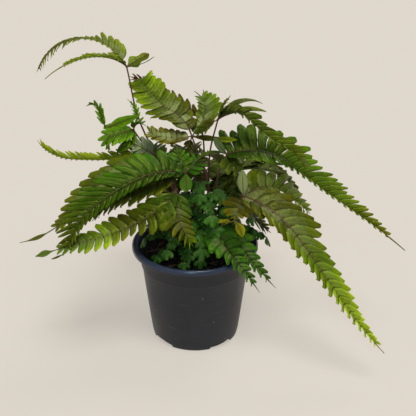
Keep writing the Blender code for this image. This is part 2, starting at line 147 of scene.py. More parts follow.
def new_material(name, roughness, specular):
    """A material, its node tree and its Principled shader, with the same gloss all over."""
    material = bpy.data.materials.new(name)
    material.use_nodes = True
    shader = material.node_tree.nodes["Principled BSDF"]
    shader.inputs["Roughness"].default_value = roughness
    shader.inputs["Specular IOR Level"].default_value = specular
    return material, material.node_tree, shader.inputs


def place_on_object(tree):
    return node(tree, "TexCoord").outputs["Object"]


# Cloudy unevenness, stretched along an axis where the surface has a direction
mottle, given, give = new_effect("uneven tone", ["Position", "Stretch", "Scale", "Depth"], ["Value"])
stretched = node(mottle, "VectorMath", {0: given["Position"], 1: given["Stretch"]}, operation="MULTIPLY")
clouds = {"Vector": stretched.outputs[0], "Scale": given["Scale"], "Detail": 4.0}
cloudy = node(mottle, "TexNoise", clouds).outputs["Fac"]
swing = maths(mottle, "MULTIPLY", maths(mottle, "SUBTRACT", cloudy, 0.5), given["Depth"])
give("Value", maths(mottle, "ADD", swing, 0.5))

# Loose specks of dust or grit, each one cell of a Voronoi pattern
specks, given, give = new_effect("specks", ["Position", "Scale", "Size", "Share"], ["Value"])
cells = node(specks, "TexVoronoi", {"Vector": given["Position"], "Scale": given["Scale"]})
near = maths(specks, "LESS_THAN", cells.outputs["Distance"], given["Size"])
chance = node(specks, "SeparateColor", {0: cells.outputs["Color"]}).outputs[0]
chosen = maths(specks, "LESS_THAN", chance, given["Share"])
give("Value", maths(specks, "MULTIPLY", near, chosen))


def pot_material():
    """Scuffed, dusty black plastic. The lip is smoother, and its lighter blue is a painted highlight."""
    material, tree, shader = new_material("black polypropylene", 0.42, 0.34)
    place = place_on_object(tree)
    haze = effect(tree, mottle, Position=place, Stretch=(1, 1, 0.35), Scale=70.0, Depth=1.6)["Value"]
    drag = effect(tree, mottle, Position=place, Stretch=(1, 1, 14), Scale=55.0, Depth=2.0)["Value"]
    dust = effect(tree, specks, Position=place, Scale=260.0, Size=0.16, Share=0.05)["Value"]
    level = node(tree, "SeparateXYZ", {"Vector": place}).outputs["Z"]
    plain = blended(tree, haze, colour(28, 29, 34), colour(37, 38, 44))
    # A lighter blue over the lip: a painted highlight along the rim
    painted_lip_highlight = ramp(tree, level, LIP_FOOT * MM, (LIP_FOOT + 4) * MM, 0.0, 0.6)
    plain = blended(tree, painted_lip_highlight, plain, colour(48, 60, 80))
    scuffed = blended(tree, ramp(tree, drag, 0.72, 1.0, 0.0, 0.35), plain, colour(88, 86, 84))
    dusty = blended(tree, maths(tree, "MULTIPLY", dust, 0.6), scuffed, colour(150, 146, 138))
    tree.links.new(dusty, shader["Base Color"])
    smoother = ramp(tree, level, (LIP_FOOT - 3) * MM, (LIP_FOOT + 1) * MM, 0.36, 0.18)
    matt = maths(tree, "ADD", maths(tree, "MULTIPLY", haze, 0.16), smoother)
    tree.links.new(matt, shader["Roughness"])
    height = maths(tree, "ADD", maths(tree, "MULTIPLY", drag, 0.4), dust)
    bump = node(tree, "Bump", {"Height": height, "Strength": 0.5, "Distance": 0.12 * MM})
    tree.links.new(bump.outputs[0], shader["Normal"])
    return material


def make_piece(name, shells, materials, sharp=55):
    """One mesh of several shells. A shell has points in millimetres, faces, a material slot and marks,
    which are values kept at each point for the materials to read."""
    starts = np.cumsum([0] + [len(shell["points"]) for shell in shells])
    mesh = bpy.data.meshes.new(name)
    points = np.vstack([shell["points"] for shell in shells]) * MM
    faces = [
        [corner + start for corner in face]
        for shell, start in zip(shells, starts.tolist())
        for face in shell["faces"]
    ]
    mesh.from_pydata(points.tolist(), [], faces)
    slots = [shell.get("slot", 0) for shell in shells for _ in shell["faces"]]
    mesh.polygons.foreach_set("material_index", slots)
    for mark in sorted({mark for shell in shells for mark in shell.get("marks", ())}):
        values = np.concatenate([shell["marks"][mark] for shell in shells]).astype(np.float32)
        kind, field = {1: ("FLOAT", "value"), 2: ("FLOAT_VECTOR", "vector")}[values.ndim]
        mesh.attributes.new(mark, kind, "POINT").data.foreach_set(field, values.ravel())
    for material in materials:
        mesh.materials.append(material)
    mesh.shade_smooth()
    mesh.set_sharp_from_angle(angle=radians(sharp))
    piece = bpy.data.objects.new(name, mesh)
    bpy.context.scene.collection.objects.link(piece)
    return piece


def dressed(piece, slot, *nodes):
    """Hides the parts that a finished piece stands for, and makes it ride on the root."""
    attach(piece, "root")
    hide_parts(*nodes)


def turned(section, turns):
    """A section of (radius, height) turned round the pot's axis, closed where it meets the axis."""
    angles = np.arange(turns) * 2 * pi / turns
    points, faces, rows = [], [], []
    for radius, height in section:
        rows.append((radius, len(points)))
        if radius == 0:
            points.append((0, 0, height))
        else:
            points += [(radius * cos(a), radius * sin(a), height) for a in angles]
    for (radius, start), (next_radius, end) in zip(rows, rows[1:]):
        for k in range(turns):
            after = (k + 1) % turns
            if radius == 0:
                faces.append((start, end + after, end + k))
            elif next_radius == 0:
                faces.append((start + k, start + after, end))
            else:
                faces.append((start + k, start + after, end + after, end + k))
    return {"points": np.array(points, float), "faces": faces}


def cut_notches(points):
    """Lifts the ring that the pot stands on between its feet."""
    angle = np.degrees(np.arctan2(points[:, 1], points[:, 0]))
    between = (angle - FOOT_TURN) % (360 / FEET) - 180 / FEET
    slope = np.clip((NOTCH_HALF_ANGLE - np.abs(between)) / NOTCH_SLOPE, 0, 1)
    lifted = NOTCH_HEIGHT * slope * slope * (3 - 2 * slope)
    radius = np.hypot(points[:, 0], points[:, 1])
    low = (radius > NOTCH_INNER) & (points[:, 2] < lifted)
    points[low, 2] = lifted[low]


def make_pot():
    shell = turned(POT_SECTION, POT_TURNS)
    cut_notches(shell["points"])
    pot = make_piece("nursery_pot", [shell], [pot_material()], sharp=35)
    angles = [k * 2 * pi / DRAINS for k in range(DRAINS)]
    for x, y in [(0, 0), *((DRAIN_RING * cos(angle), DRAIN_RING * sin(angle)) for angle in angles)]:
        bpy.ops.mesh.primitive_cylinder_add(
            vertices=DRAIN_SIDES, radius=DRAIN_RADIUS * MM, depth=DRILL_LENGTH * MM,
            location=(x * MM, y * MM, 0),
        )
        drill = bpy.context.object
        hole = pot.modifiers.new("drain", "BOOLEAN")
        hole.object = drill
        hole.operation = "DIFFERENCE"
        bpy.context.view_layer.update()
        cut = bpy.data.meshes.new_from_object(pot.evaluated_get(bpy.context.evaluated_depsgraph_get()))
        pot.modifiers.remove(hole)
        pot.data = cut
        bpy.data.objects.remove(drill)
    dressed(pot, "pot", "pot")


make_pot()


# Potting soil fills the pot to 17 mm below its lip: dark peat with lumps of bark, and a few
# pale root and wood fibres that lie on top.

SOIL_LEVEL = 88.0
SOIL_RINGS = 46
SOIL_TURNS = 150
SOIL_RADIUS = 54.0
SOIL_ROUGHNESS = 1.5
SOIL_EDGE = 48.0
SOIL_DIP = 1.2
# Radius and height, down the pot's wall and in along its floor
SOIL_SECTION = ((53.9, 84.0), (53.0, 80.0), (43.2, 9.0), (41.4, 3.3), (0.0, 3.3))
SOIL_SEED = 7
CRUMBS = 620
CRUMB_SIZE = (0.5, 1.9)
CRUMB_STRETCH = (0.6, 1.35)
CRUMB_ROUGHNESS = (0.75, 1.2)
LOOSE_MARGIN = 2.0
FIBRES = 90
FIBRE_LENGTH = (5.0, 16.0)
FIBRE_RADIUS = (0.14, 0.3)
FIBRE_BEND = 0.16
FIBRE_STEPS = 7
FIBRE_SIDES = 5


def soil_height(x, y):
    """The uneven top of the soil, which lies a little lower along the pot's wall."""
    place = Vector((x, y, 0))
    lumps = noise.fractal(place * 0.13, 1.0, 2.0, 4) + 0.5 * noise.noise(place * 0.55)
    edge = max(0.0, (np.hypot(x, y) - SOIL_EDGE) / (SOIL_RADIUS - SOIL_EDGE))
    return SOIL_LEVEL + SOIL_ROUGHNESS * lumps - SOIL_DIP * edge**2


def spot_on_soil(reach, rng):
    """A place picked evenly on the soil, up to some distance from the pot's axis."""
    radius, angle = reach * rng.uniform(0, 1) ** 0.5, rng.uniform(0, 2 * pi)
    return radius * cos(angle), radius * sin(angle)


def ball(radius, subdivisions):
    """The points and faces of a small ball of triangles."""
    work = bmesh.new()
    bmesh.ops.create_icosphere(work, subdivisions=subdivisions, radius=radius)
    points = np.array([v.co for v in work.verts])
    faces = [[v.index for v in face.verts] for face in work.faces]
    work.free()
    return points, faces


def crumb(place, size, rng):
    """A broken lump: a rough ball pushed in and out of round."""
    points, faces = ball(1, 1)
    stretch = rng.uniform(*CRUMB_STRETCH, 3) * size
    points = points * rng.uniform(*CRUMB_ROUGHNESS, (len(points), 1)) * stretch
    turn = rng.uniform(0, 2 * pi)
    spun = points @ np.array([[cos(turn), sin(turn), 0], [-sin(turn), cos(turn), 0], [0, 0, 1]])
    tone = rng.uniform(0, 1)
    return {"points": spun + place, "faces": faces, "marks": {"tone": np.full(len(points), tone)}}


def tube(path, radii, sides, groove=0.0):
    """A round stem along a path, closed at both ends, with a shallow groove along its upper side."""
    path = np.asarray(path, float)
    ways = np.gradient(path, axis=0)
    ways /= np.linalg.norm(ways, axis=1, keepdims=True)
    level = np.cross(ways, (0, 0, 1.0))
    level[np.linalg.norm(level, axis=1) < 0.05] = (1, 0, 0)
    level /= np.linalg.norm(level, axis=1, keepdims=True)
    for before in range(len(level) - 1):
        if level[before + 1] @ level[before] < 0:
            level[before + 1] *= -1
    upper = np.cross(level, ways)
    angles = np.arange(sides) * 2 * pi / sides
    off = np.minimum(np.abs(angles - pi / 2), 2 * pi - np.abs(angles - pi / 2))
    dent = 1 - groove * np.exp(-((off / 0.5) ** 2))
    radii = np.asarray(radii)[:, None, None]
    rings = (
        path[:, None]
        + level[:, None] * (np.cos(angles) * dent)[None, :, None] * radii
        + upper[:, None] * (np.sin(angles) * dent)[None, :, None] * radii
    )
    faces = []
    for row in range(len(path) - 1):
        for k in range(sides):
            after = (k + 1) % sides
            start, end = row * sides, (row + 1) * sides
            faces.append((start + k, start + after, end + after, end + k))
    last = (len(path) - 1) * sides
    faces.append(tuple(range(sides))[::-1])
    faces.append(tuple(range(last, last + sides)))
    share = np.repeat(np.linspace(0, 1, len(path)), sides)
    return {"points": rings.reshape(-1, 3), "faces": faces, "marks": {"tone": share}}


def fibre(rng):
    """A thin root or wood fibre that lies loosely on the soil."""
    x, y = spot_on_soil(SOIL_RADIUS * 0.92, rng)
    way = rng.uniform(0, 2 * pi)
    step, bend = rng.uniform(*FIBRE_LENGTH) / FIBRE_STEPS, rng.uniform(-FIBRE_BEND, FIBRE_BEND)
    path = []
    for _ in range(FIBRE_STEPS + 1):
        if np.hypot(x, y) < SOIL_RADIUS - LOOSE_MARGIN:
            path.append((x, y, soil_height(x, y) + 0.35 + rng.uniform(0, 0.5)))
        x, y, way = x + cos(way) * step, y + sin(way) * step, way + bend
    if len(path) < 3:
        return None
    shell = tube(path, np.full(len(path), rng.uniform(*FIBRE_RADIUS)), FIBRE_SIDES)
    shell["slot"] = 1
    return shell


def soil_material():
    material, tree, shader = new_material("peat and bark", 0.95, 0.15)
    place = place_on_object(tree)
    tone = node(tree, "Attribute", attribute_name="tone").outputs["Fac"]
    grain = effect(tree, mottle, Position=place, Stretch=(1, 1, 1), Scale=420.0, Depth=2.4)["Value"]
    damp = effect(tree, mottle, Position=place, Stretch=(1, 1, 1), Scale=60.0, Depth=2.0)["Value"]
    peat = blended(tree, grain, colour(10, 8, 6), colour(30, 22, 16))
    bark = blended(tree, ramp(tree, tone, 0.55, 1.0, 0.0, 0.8), peat, colour(84, 54, 34))
    damp_earth = blended(tree, maths(tree, "MULTIPLY", damp, 0.6), bark, colour(12, 9, 7))
    tree.links.new(damp_earth, shader["Base Color"])
    bump = node(tree, "Bump", {"Height": grain, "Strength": 0.9, "Distance": 0.6 * MM})
    tree.links.new(bump.outputs[0], shader["Normal"])
    return material


def fibre_material():
    material, tree, shader = new_material("dry fibre", 0.8, 0.2)
    place = place_on_object(tree)
    streak = effect(tree, mottle, Position=place, Stretch=(1, 1, 1), Scale=300.0, Depth=2.0)["Value"]
    tree.links.new(blended(tree, streak, colour(70, 44, 26), colour(132, 98, 62)), shader["Base Color"])
    return material


def make_soil():
    rng = np.random.default_rng(SOIL_SEED)
    rings = [(SOIL_RADIUS * (1 - k / SOIL_RINGS), SOIL_LEVEL) for k in range(SOIL_RINGS + 1)][::-1]
    plug = turned([*rings, *SOIL_SECTION], SOIL_TURNS)
    top = plug["points"][:, 2] == SOIL_LEVEL
    plug["points"][top, 2] = [soil_height(x, y) for x, y, _ in plug["points"][top]]
    # The soil's section runs down, where the pot's runs up, so its faces are turned over
    plug["faces"] = [face[::-1] for face in plug["faces"]]
    plug["marks"] = {"tone": np.zeros(len(plug["points"]))}
    shells = [plug]
    for _ in range(CRUMBS):
        x, y = spot_on_soil(SOIL_RADIUS - LOOSE_MARGIN, rng)
        size = CRUMB_SIZE[0] + np.ptp(CRUMB_SIZE) * rng.uniform(0, 1) ** 3
        shells.append(crumb((x, y, soil_height(x, y) + size * 0.2), size, rng))
    shells += [found for found in (fibre(rng) for _ in range(FIBRES)) if found]
    soil = make_piece("potting_soil", shells, [soil_material(), fibre_material()], sharp=40)
    dressed(soil, "soil", "soil")


make_soil()


# Each grown frond stands on a thin wiry stalk, dark red-brown and grooved along its upper side,
# darker at its foot. It ends in a small knot, from which the leaflets part.

STRAIGHT_LENGTH = 8.0
ROOTED_DEPTH = 6.0
STALK_RADIUS = 1.15
STALK_TOP_RADIUS = 0.8
STALK_SIDES = 12
STALK_GROOVE = 0.25
STALK_STEPS = 7


def smooth_route(points, steps):
    """A Catmull-Rom curve through the points."""
    ends = [points[0] * 2 - points[1], *points, points[-1] * 2 - points[-2]]
    route = [points[0]]
    for before, start, end, after in zip(ends, ends[1:], ends[2:], ends[3:]):
        for step in range(1, steps + 1):
            t = step / steps
            slope = (end - before) * t
            bend = (before * 2 - start * 5 + end * 4 - after) * t**2
            turn = (start * 3 - before - end * 3 + after) * t**3
            route.append((start * 2 + slope + bend + turn) / 2)
    return route


def stalk_shell(foot, route):
    """A stalk from a little way under the soil up to its knot."""
    ground = Vector((*foot, SOIL_LEVEL))
    out = (Vector(route[0]) - ground).normalized()
    path = smooth_route([ground + out * STRAIGHT_LENGTH, *(Vector(p) for p in route)], STALK_STEPS)
    path = [ground - out * ROOTED_DEPTH, ground, ground + out * STRAIGHT_LENGTH / 2, *path]
    radii = np.linspace(STALK_RADIUS, STALK_TOP_RADIUS, len(path))
    return tube(path, radii, STALK_SIDES, STALK_GROOVE)


def stalk_material(name, low, high, specular=0.35):
    """A stalk's finish, from its colour at the foot to its colour at the knot."""
    material, tree, shader = new_material(name, 0.38, specular)
    place = place_on_object(tree)
    tone = node(tree, "Attribute", attribute_name="tone").outputs["Fac"]
    streak = effect(tree, mottle, Position=place, Stretch=(1, 1, 0.12), Scale=900.0, Depth=2.0)["Value"]
    shifted = maths(tree, "ADD", tone, maths(tree, "MULTIPLY", maths(tree, "SUBTRACT", streak, 0.5), 0.3))
    skin = blended(tree, ramp(tree, shifted, 0.1, 0.95), low, high)
    streaked = blended(tree, maths(tree, "MULTIPLY", streak, 0.35), skin, colour(30, 18, 12))
    tree.links.new(streaked, shader["Base Color"])
    bump = node(tree, "Bump", {"Height": streak, "Strength": 0.4, "Distance": 0.1 * MM})
    tree.links.new(bump.outputs[0], shader["Normal"])
    return material


wiry = stalk_material("wiry stalk", colour(58, 34, 22), colour(92, 46, 36))


def make_stalk(name, foot, route):
    piece = make_piece(name + "_stalk_fine", [stalk_shell(foot, route)], [wiry])
    dressed(piece, "stalk", name + "_stalk")


# A leaflet is one soft blade, cut into lobes to near its rib. The lobes are crowned, with a sunk
# vein along the middle and fine forked veins beside it. They are dull grey-green underneath, and
# silvery beside the rib in this kind. The rib stands out on both faces.

RIB_STEPS = 120
RIB_HALF_WIDTH = 0.65
RIB_SIDES = 8
KNOT_RADIUS = 1.35
THICKNESS = 0.34
# How far the notches stand from the rib, as a share of the lobes' reach
NOTCH_SHARE = 0.1
# The usual outline: the lobes' reach, as a share of the longest, at some shares of the length
OUTLINE_AT = (0.0, 0.12, 0.35, 0.6, 0.8, 0.93, 1.0)
OUTLINE_REACH = (0.8, 0.95, 1.0, 0.82, 0.5, 0.24, 0.12)
# Power and root of the curve that narrows a round tip and a sharp one
ROUND_TIP = (4.4, 0.5)
SHARP_TIP = (1.6, 0.8)
# How far a round tip and a sharp one bend forward, as a share of the lobe's width
TIP_FORWARD = (0.25, 0.5)
# How much lobes differ from their neighbours: in degrees, and as shares of their size
LEAN_SCATTER = 5.0
LIFT_SCATTER = 9.0
REACH_SCATTER = (0.93, 1.06)
EDGE_SCATTER = 0.07
MOSS = (78, 108, 14)
DEEP = (58, 88, 12)
OLIVE = (98, 98, 14)
FRESH = (98, 144, 12)
SHEEN = (0.9, 1.0, 0.15)


def leaflet(length, heading, pitch, lobes, reach, lift=(25, 25), sweep=((28, 46),) * 2, **look):
    """One leaflet. Values that change along it are given at even steps, and angles in degrees.

    Its rib runs by heading, 0 to the right and 90 to the back, and by pitch, up from the level.
    In pairs, for the left and the right of the rib: reach, how far the lobes go; lift, how far they
    stand above the level; sweep, how far they lean to the tip; droop, how far their ends sink; wide
    and blunt, how much wider and blunter than usual; dark, below 1 where they are darker, which is
    painted shade on lobes that hang in the shade under the rib.
    For both: bare and tail, the lengths without lobes at the foot and the end; ending, the tail's
    half-widths; off, which earlier leaflet it grows from and how far along; fill, how much of its
    place a lobe takes; point, how sharp it is; crown, how arched; shingle, how far its back edge is
    tipped up; crowding, how close the last lobes stand; rib, the rib's radius; tint, its colours
    from foot to end; silver, how strong the band beside the rib is, which on the lobes with the most
    tone is partly a painted highlight.
    """
    if not isinstance(reach, tuple):
        reach = (reach, reach)
    both = {"reach": reach, "lift": lift, "sweep": sweep}
    for name, usual in (("droop", 14), ("dark", 1.0), ("wide", 1.0), ("blunt", 0.0)):
        both[name] = look.pop(name, (usual, usual))
    return {
        "length": length, "heading": heading, "pitch": pitch, "lobes": lobes,
        **{name: dict(zip((1, -1), pair)) for name, pair in both.items()},
        "bare": 4, "tail": 5, "ending": None, "off": None, "silver": 0.0, "fill": (1.04, 1.0),
        "point": (0.0, 0.6), "crown": 0.18, "rib": 0.62, "shingle": 0.22, "crowding": 1.15, **look,
        "tint": [colour(*part) for part in look.get("tint", (MOSS, MOSS))],
    }


def whole_leaf(length, heading, pitch, widths, lift=(12, 12), **look):
    """A leaflet without lobes, from its half-widths at even steps along it."""
    whole = {"bare": 1, "tail": length - 2, "ending": widths, **look}
    return leaflet(length, heading, pitch, 1, 1, lift=lift, **whole)


def along(values, shares):
    """The values, given at even steps, at some shares of the length. One value holds all along."""
    values = np.atleast_1d(values)
    return np.interp(shares, np.linspace(0, 1, len(values)), values)


def reaches(leaf, side, shares):
    """How far the lobes of one side reach, from a profile or from one size and the usual outline."""
    reach = leaf["reach"][side]
    if isinstance(reach, tuple):
        return along(reach, shares)
    return reach * np.interp(shares, OUTLINE_AT, OUTLINE_REACH)


def direction(heading, pitch):
    """Unit vectors of some headings and pitches in degrees."""
    turn, rise = np.radians(heading), np.radians(pitch)
    return np.stack([np.cos(rise) * np.cos(turn), np.cos(rise) * np.sin(turn), np.sin(rise)], axis=-1)


def rib_line(start, leaf):
    """A call that gives the rib's points, directions and level cross lines at some distances."""

    def runs(shares):
        return along(leaf["heading"], shares), along(leaf["pitch"], shares)

    ways = direction(*runs((np.arange(RIB_STEPS) + 0.5) / RIB_STEPS))
    points = np.vstack([np.zeros(3), np.cumsum(ways, axis=0) * leaf["length"] / RIB_STEPS]) + start
    distance = np.linspace(0, leaf["length"], RIB_STEPS + 1)

    def at(distances):
        distances = np.atleast_1d(distances)
        heading, pitch = runs(distances / leaf["length"])
        place = np.stack([np.interp(distances, distance, line) for line in points.T], axis=1)
        turn = np.radians(heading)
        return place, direction(heading, pitch), np.stack([-np.sin(turn), np.cos(turn), 0 * turn], axis=1)

    return at


def side_way(forward, across, side, lift):
    """Unit vectors that leave the rib on its left (1) or its right (-1), lifted above the level."""
    lift = np.radians(lift)[..., None]
    return across * side * np.cos(lift) + np.cross(forward, across) * np.sin(lift)


def patch(points, out, across, share, tone, flip):
    """A grid of points as a sheet. Its marks are how far out from the rib a point lies, how far across
    from the lobe's middle, at what share of the leaflet's length, and the lobe's tone."""
    rows, columns = points.shape[:2]
    index = np.arange(rows * columns).reshape(rows, columns)
    corners = (index[:-1, :-1], index[:-1, 1:], index[1:, 1:], index[1:, :-1])
    quads = np.stack([corner.ravel() for corner in corners], axis=1)
    marks = [np.broadcast_to(mark, (rows, columns)).ravel() for mark in (out, across, share, tone)]
    return points.reshape(-1, 3), quads[:, ::-1] if flip else quads, np.stack(marks, axis=1)


def strips(at, leaf, side, stations, notch_width):
    """The bare foot of the blade beside the rib, and its narrow end, on one side."""
    length = leaf["length"]
    foot = np.linspace(0, leaf["bare"], 4)
    tip = np.linspace(stations[-1], length, max(6, int(leaf["tail"] / 1.5)))
    gone = np.linspace(0, 1, len(tip))
    if leaf["ending"]:
        narrowing = along((notch_width[-1], *leaf["ending"]), gone)
    else:
        ripple = 1 + 0.3 * np.sin(gone * 2 * pi * max(1, leaf["tail"] / 6)) ** 2
        narrowing = notch_width[-1] * (1 - 0.88 * gone) * ripple
    columns = np.array([0, 0.5, 1])
    for run, widths in ((foot, np.linspace(RIB_HALF_WIDTH, notch_width[0], 4)), (tip, narrowing)):
        spot, ahead, cross = at(run)
        out = side_way(ahead, cross, side, along(leaf["lift"][side], run / length))
        grid = spot[:, None] + out[:, None] * widths[:, None, None] * columns[None, :, None]
        yield patch(grid, columns[None] * 0.6, columns[None] * 0.9, (run / length)[:, None], 0.5, side > 0)


def lobe_patch(leaf, side, share, steps, reach, ways, corners, rng):
    """One lobe, from the rib out to its rounded tip. It widens or narrows so that it meets its
    neighbours where the rib bends."""
    forward, across, ahead = ways
    back_rib, front_rib, back_notch, front_notch = corners
    lean = radians(along(leaf["sweep"][side], share) + rng.uniform(-LEAN_SCATTER, LEAN_SCATTER))
    lifted = along(leaf["lift"][side], share) + rng.uniform(-LIFT_SCATTER, LIFT_SCATTER)
    droop = along(leaf["droop"][side], share)
    flat = side_way(forward, across, side, lifted) * cos(lean) + forward * sin(lean)
    low = side_way(forward, across, side, lifted - droop) * cos(lean) + forward * sin(lean)
    normal = np.cross(ahead, flat) * side
    normal /= np.linalg.norm(normal)
    rows = int(np.clip(reach / 2.0, 4, 9))
    out = (np.arange(1, rows + 1) / rows) ** 0.75
    step = steps[0] + (steps[1] - steps[0]) * out
    columns = np.linspace(-1, 1, 7 if steps[0] > 4.5 else 5)
    # An arch, with a groove along the midvein
    crown = leaf["crown"] * steps[0] * (1 - columns**2)
    crown -= 0.45 * leaf["crown"] * steps[0] * np.exp(-((columns / 0.22) ** 2))
    sharpness = along(leaf["point"], share) - leaf["blunt"][side]
    power, root = (a + (b - a) * sharpness for a, b in zip(ROUND_TIP, SHARP_TIP))
    half = along(leaf["fill"], share) * leaf["wide"][side] * step / 2 * (1 - out**power) ** root
    half = np.maximum(half, 0.07 * step)
    # The two edges are a little ragged
    ragged = 1 + rng.uniform(-EDGE_SCATTER, EDGE_SCATTER, (rows, 2))
    edge = np.where(columns[None] < 0, ragged[:, :1], ragged[:, 1:])
    shift = (TIP_FORWARD[0] + np.ptp(TIP_FORWARD) * sharpness) * step * out**2
    line = (flat * (1 - out[:, None] / 2) + low * out[:, None] / 2) * (reach / cos(lean) * out)[:, None]
    spine = (back_notch + front_notch) / 2 + line + ahead * shift[:, None]
    grid = spine[:, None] + ahead * (half[:, None] * edge * columns[None])[..., None]
    tilt = leaf["shingle"] * steps[0] / 2 * rng.uniform(0.5, 1.5)
    raised = crown[None] * (1 - 0.5 * out**2)[:, None]
    raised = raised - tilt * columns[None] * np.minimum(1, out * 3)[:, None]
    grid += normal * raised[..., None]
    # The narrow web between the rib and the notches
    joined = np.array([0, 0.5, 1])
    back = back_rib + (back_notch - back_rib) * joined[:, None]
    front = front_rib + (front_notch - front_rib) * joined[:, None]
    root_grid = back[:, None] + (front - back)[:, None] * ((columns + 1) / 2)[None, :, None]
    root_grid += normal * (crown[None] * joined[:, None] * 0.8)[..., None]
    neck = NOTCH_SHARE / (NOTCH_SHARE + 1)
    how_far = np.concatenate([neck * joined, neck + (1 - neck) * out])[:, None]
    whole = np.concatenate([root_grid, grid])
    # A dark below 1 darkens the lobe's tone: painted shade where lobes hang under the rib
    dark = along(leaf["dark"][side], share)
    tone = rng.uniform(0, 1) * dark + 1.6 * (dark - 1)
    return patch(whole, how_far, np.abs(columns)[None], share, tone, side < 0)


def leaf_patches(at, leaf, rng):
    """The lobes, the bare foot and the end of a leaflet, each a grid that shares its edge with the next."""
    lobes = leaf["lobes"]
    lobed = leaf["length"] - leaf["bare"] - leaf["tail"]
    stations = leaf["bare"] + lobed * (1 - (1 - np.arange(lobes + 1) / lobes) ** leaf["crowding"])
    shares = (stations - leaf["bare"]) / lobed
    place, forward, across = at(stations)
    ahead = at((stations[:-1] + stations[1:]) / 2)[1]
    found = []
    for side in (1, -1):
        reach = np.maximum(0.8, reaches(leaf, side, shares))
        lift, lean = (along(leaf[name][side], shares) for name in ("lift", "sweep"))
        out = side_way(forward, across, side, lift)
        notch = place + out * np.maximum(RIB_HALF_WIDTH, NOTCH_SHARE * reach)[:, None]
        lean = np.radians(lean)[:, None]
        ends = notch + (out * np.cos(lean) + forward * np.sin(lean)) * (reach / np.cos(lean[:, 0]))[:, None]
        spread = ((ends[1:] - ends[:-1]) * ahead).sum(axis=1)
        found += strips(at, leaf, side, stations, np.linalg.norm(notch - place, axis=1))
        for k in range(lobes):
            step = stations[k + 1] - stations[k]
            steps = (step, np.clip(spread[k], 0.5 * step, 2 * step))
            long = (reach[k] + reach[k + 1]) / 2 * rng.uniform(*REACH_SCATTER)
            ways = (forward[k], across[k], ahead[k])
            corners = (place[k], place[k + 1], notch[k], notch[k + 1])
            share = (shares[k] + shares[k + 1]) / 2
            found.append(lobe_patch(leaf, side, share, steps, long, ways, corners, rng))
    return found


def welded(patches):
    """Patches as one sheet, with the points on their common edges made one."""
    starts = np.cumsum([0] + [len(points) for points, _, _ in patches])
    points = np.vstack([points for points, _, _ in patches])
    quads = np.vstack([quads + start for (_, quads, _), start in zip(patches, starts)])
    marks = np.vstack([marks for _, _, marks in patches])
    _, first, index = np.unique(np.round(points, 3), axis=0, return_index=True, return_inverse=True)
    return points[first], index.reshape(-1)[quads], marks[first]


def thickened(points, quads, marks):
    """A sheet as a closed blade, and each point's side: 0 on the upper face and 1 underneath."""
    corners = points[quads]
    facing = np.cross(corners[:, 2] - corners[:, 0], corners[:, 3] - corners[:, 1])
    normal = np.zeros_like(points)
    for corner in range(4):
        np.add.at(normal, quads[:, corner], facing)
    normal /= np.maximum(np.linalg.norm(normal, axis=1, keepdims=True), 1e-9)
    ends = np.concatenate([quads[:, [k, (k + 1) % 4]] for k in range(4)])
    _, index, count = np.unique(np.sort(ends, axis=1), axis=0, return_inverse=True, return_counts=True)
    rim = ends[count[index.reshape(-1)] == 1]
    under = len(points)
    edge = np.stack([rim[:, 1], rim[:, 0], rim[:, 0] + under, rim[:, 1] + under], axis=1)
    faces = np.vstack([quads, quads[:, ::-1] + under, edge])
    both = np.vstack([points + normal * THICKNESS / 2, points - normal * THICKNESS / 2])
    return both, faces, np.vstack([marks, marks]), np.repeat([0.0, 1.0], under)


def blade_shell(patches, paint):
    """Patches as one blade. Paint gives its tint and silver, partly a painted highlight, at some shares of
    its length and tones.
    """
    points, faces, marks, under = thickened(*welded(patches))
    out, across, share, tone = marks.T
    tint, silver = paint(share, tone)
    zone = np.stack([out, across, silver], axis=1)
    marks = {"tint": tint, "zone": zone, "tone": tone, "under": under}
    return {"points": points, "faces": faces.tolist(), "slot": 0, "marks": marks}


def as_stem(shell):
    """A shell of a leafy piece in its second material. It has the leaves' marks too, all plain."""
    count = len(shell["points"])
    shell["slot"] = 1
    for mark, size in (("tint", (count, 3)), ("zone", (count, 3)), ("under", count)):
        shell["marks"][mark] = np.zeros(size)
    return shell


def leaf_shells(at, leaf, rng):
    """The blade and the rib of one leaflet. The lobes with the most tone get the most silver, partly a
    painted highlight.
    """

    def paint(share, tone):
        tint = np.stack([along(part, share) for part in zip(*leaf["tint"])], axis=1)
        return tint, along(leaf["silver"], share) * np.clip(0.1 + 1.7 * tone, 0, 1.6)

    blade = blade_shell(leaf_patches(at, leaf, rng), paint)
    run = np.linspace(0.2, leaf["length"] - 0.5, max(8, int(leaf["length"] / 3.5)))
    radii = leaf["rib"] * (1 - 0.72 * run / leaf["length"])
    return [blade, as_stem(tube(at(run)[0], radii, RIB_SIDES))]


# Forked veins of a lobe, from how far along and across it a point lies: 1 on a vein
veins, given, give = new_effect("forked veins", ["Along", "Across", "Count"], ["Veins", "Midvein"])
fan = maths(veins, "SUBTRACT", given["Along"], maths(veins, "MULTIPLY", given["Across"], 0.3))
wave = maths(veins, "SINE", maths(veins, "MULTIPLY", maths(veins, "MULTIPLY", fan, given["Count"]), 2 * pi))
give("Veins", ramp(veins, wave, 0.35, 1.0))
line = ramp(veins, given["Across"], 0.02, 0.16, 1.0, 0.0)
give("Midvein", maths(veins, "MULTIPLY", line, ramp(veins, given["Along"], 0.5, 0.95, 1.0, 0.0)))

# The silver band beside the rib, streaked along the veins. On young leaves it is a painted highlight, and
# on grown lobes with much tone partly one
band, given, give = new_effect("silver band", ["Along", "Across", "Silver", "Patchy"], ["Value"])
uneven = maths(band, "MULTIPLY", maths(band, "SUBTRACT", given["Patchy"], 0.5), 0.7)
close = ramp(band, maths(band, "ADD", given["Along"], uneven), 0.25, 0.75, 1.0, 0.0)
between_edges = ramp(band, given["Across"], 0.72, 1.0, 1.0, 0.35)
give("Value", maths(band, "MULTIPLY", maths(band, "MULTIPLY", close, between_edges), given["Silver"]))


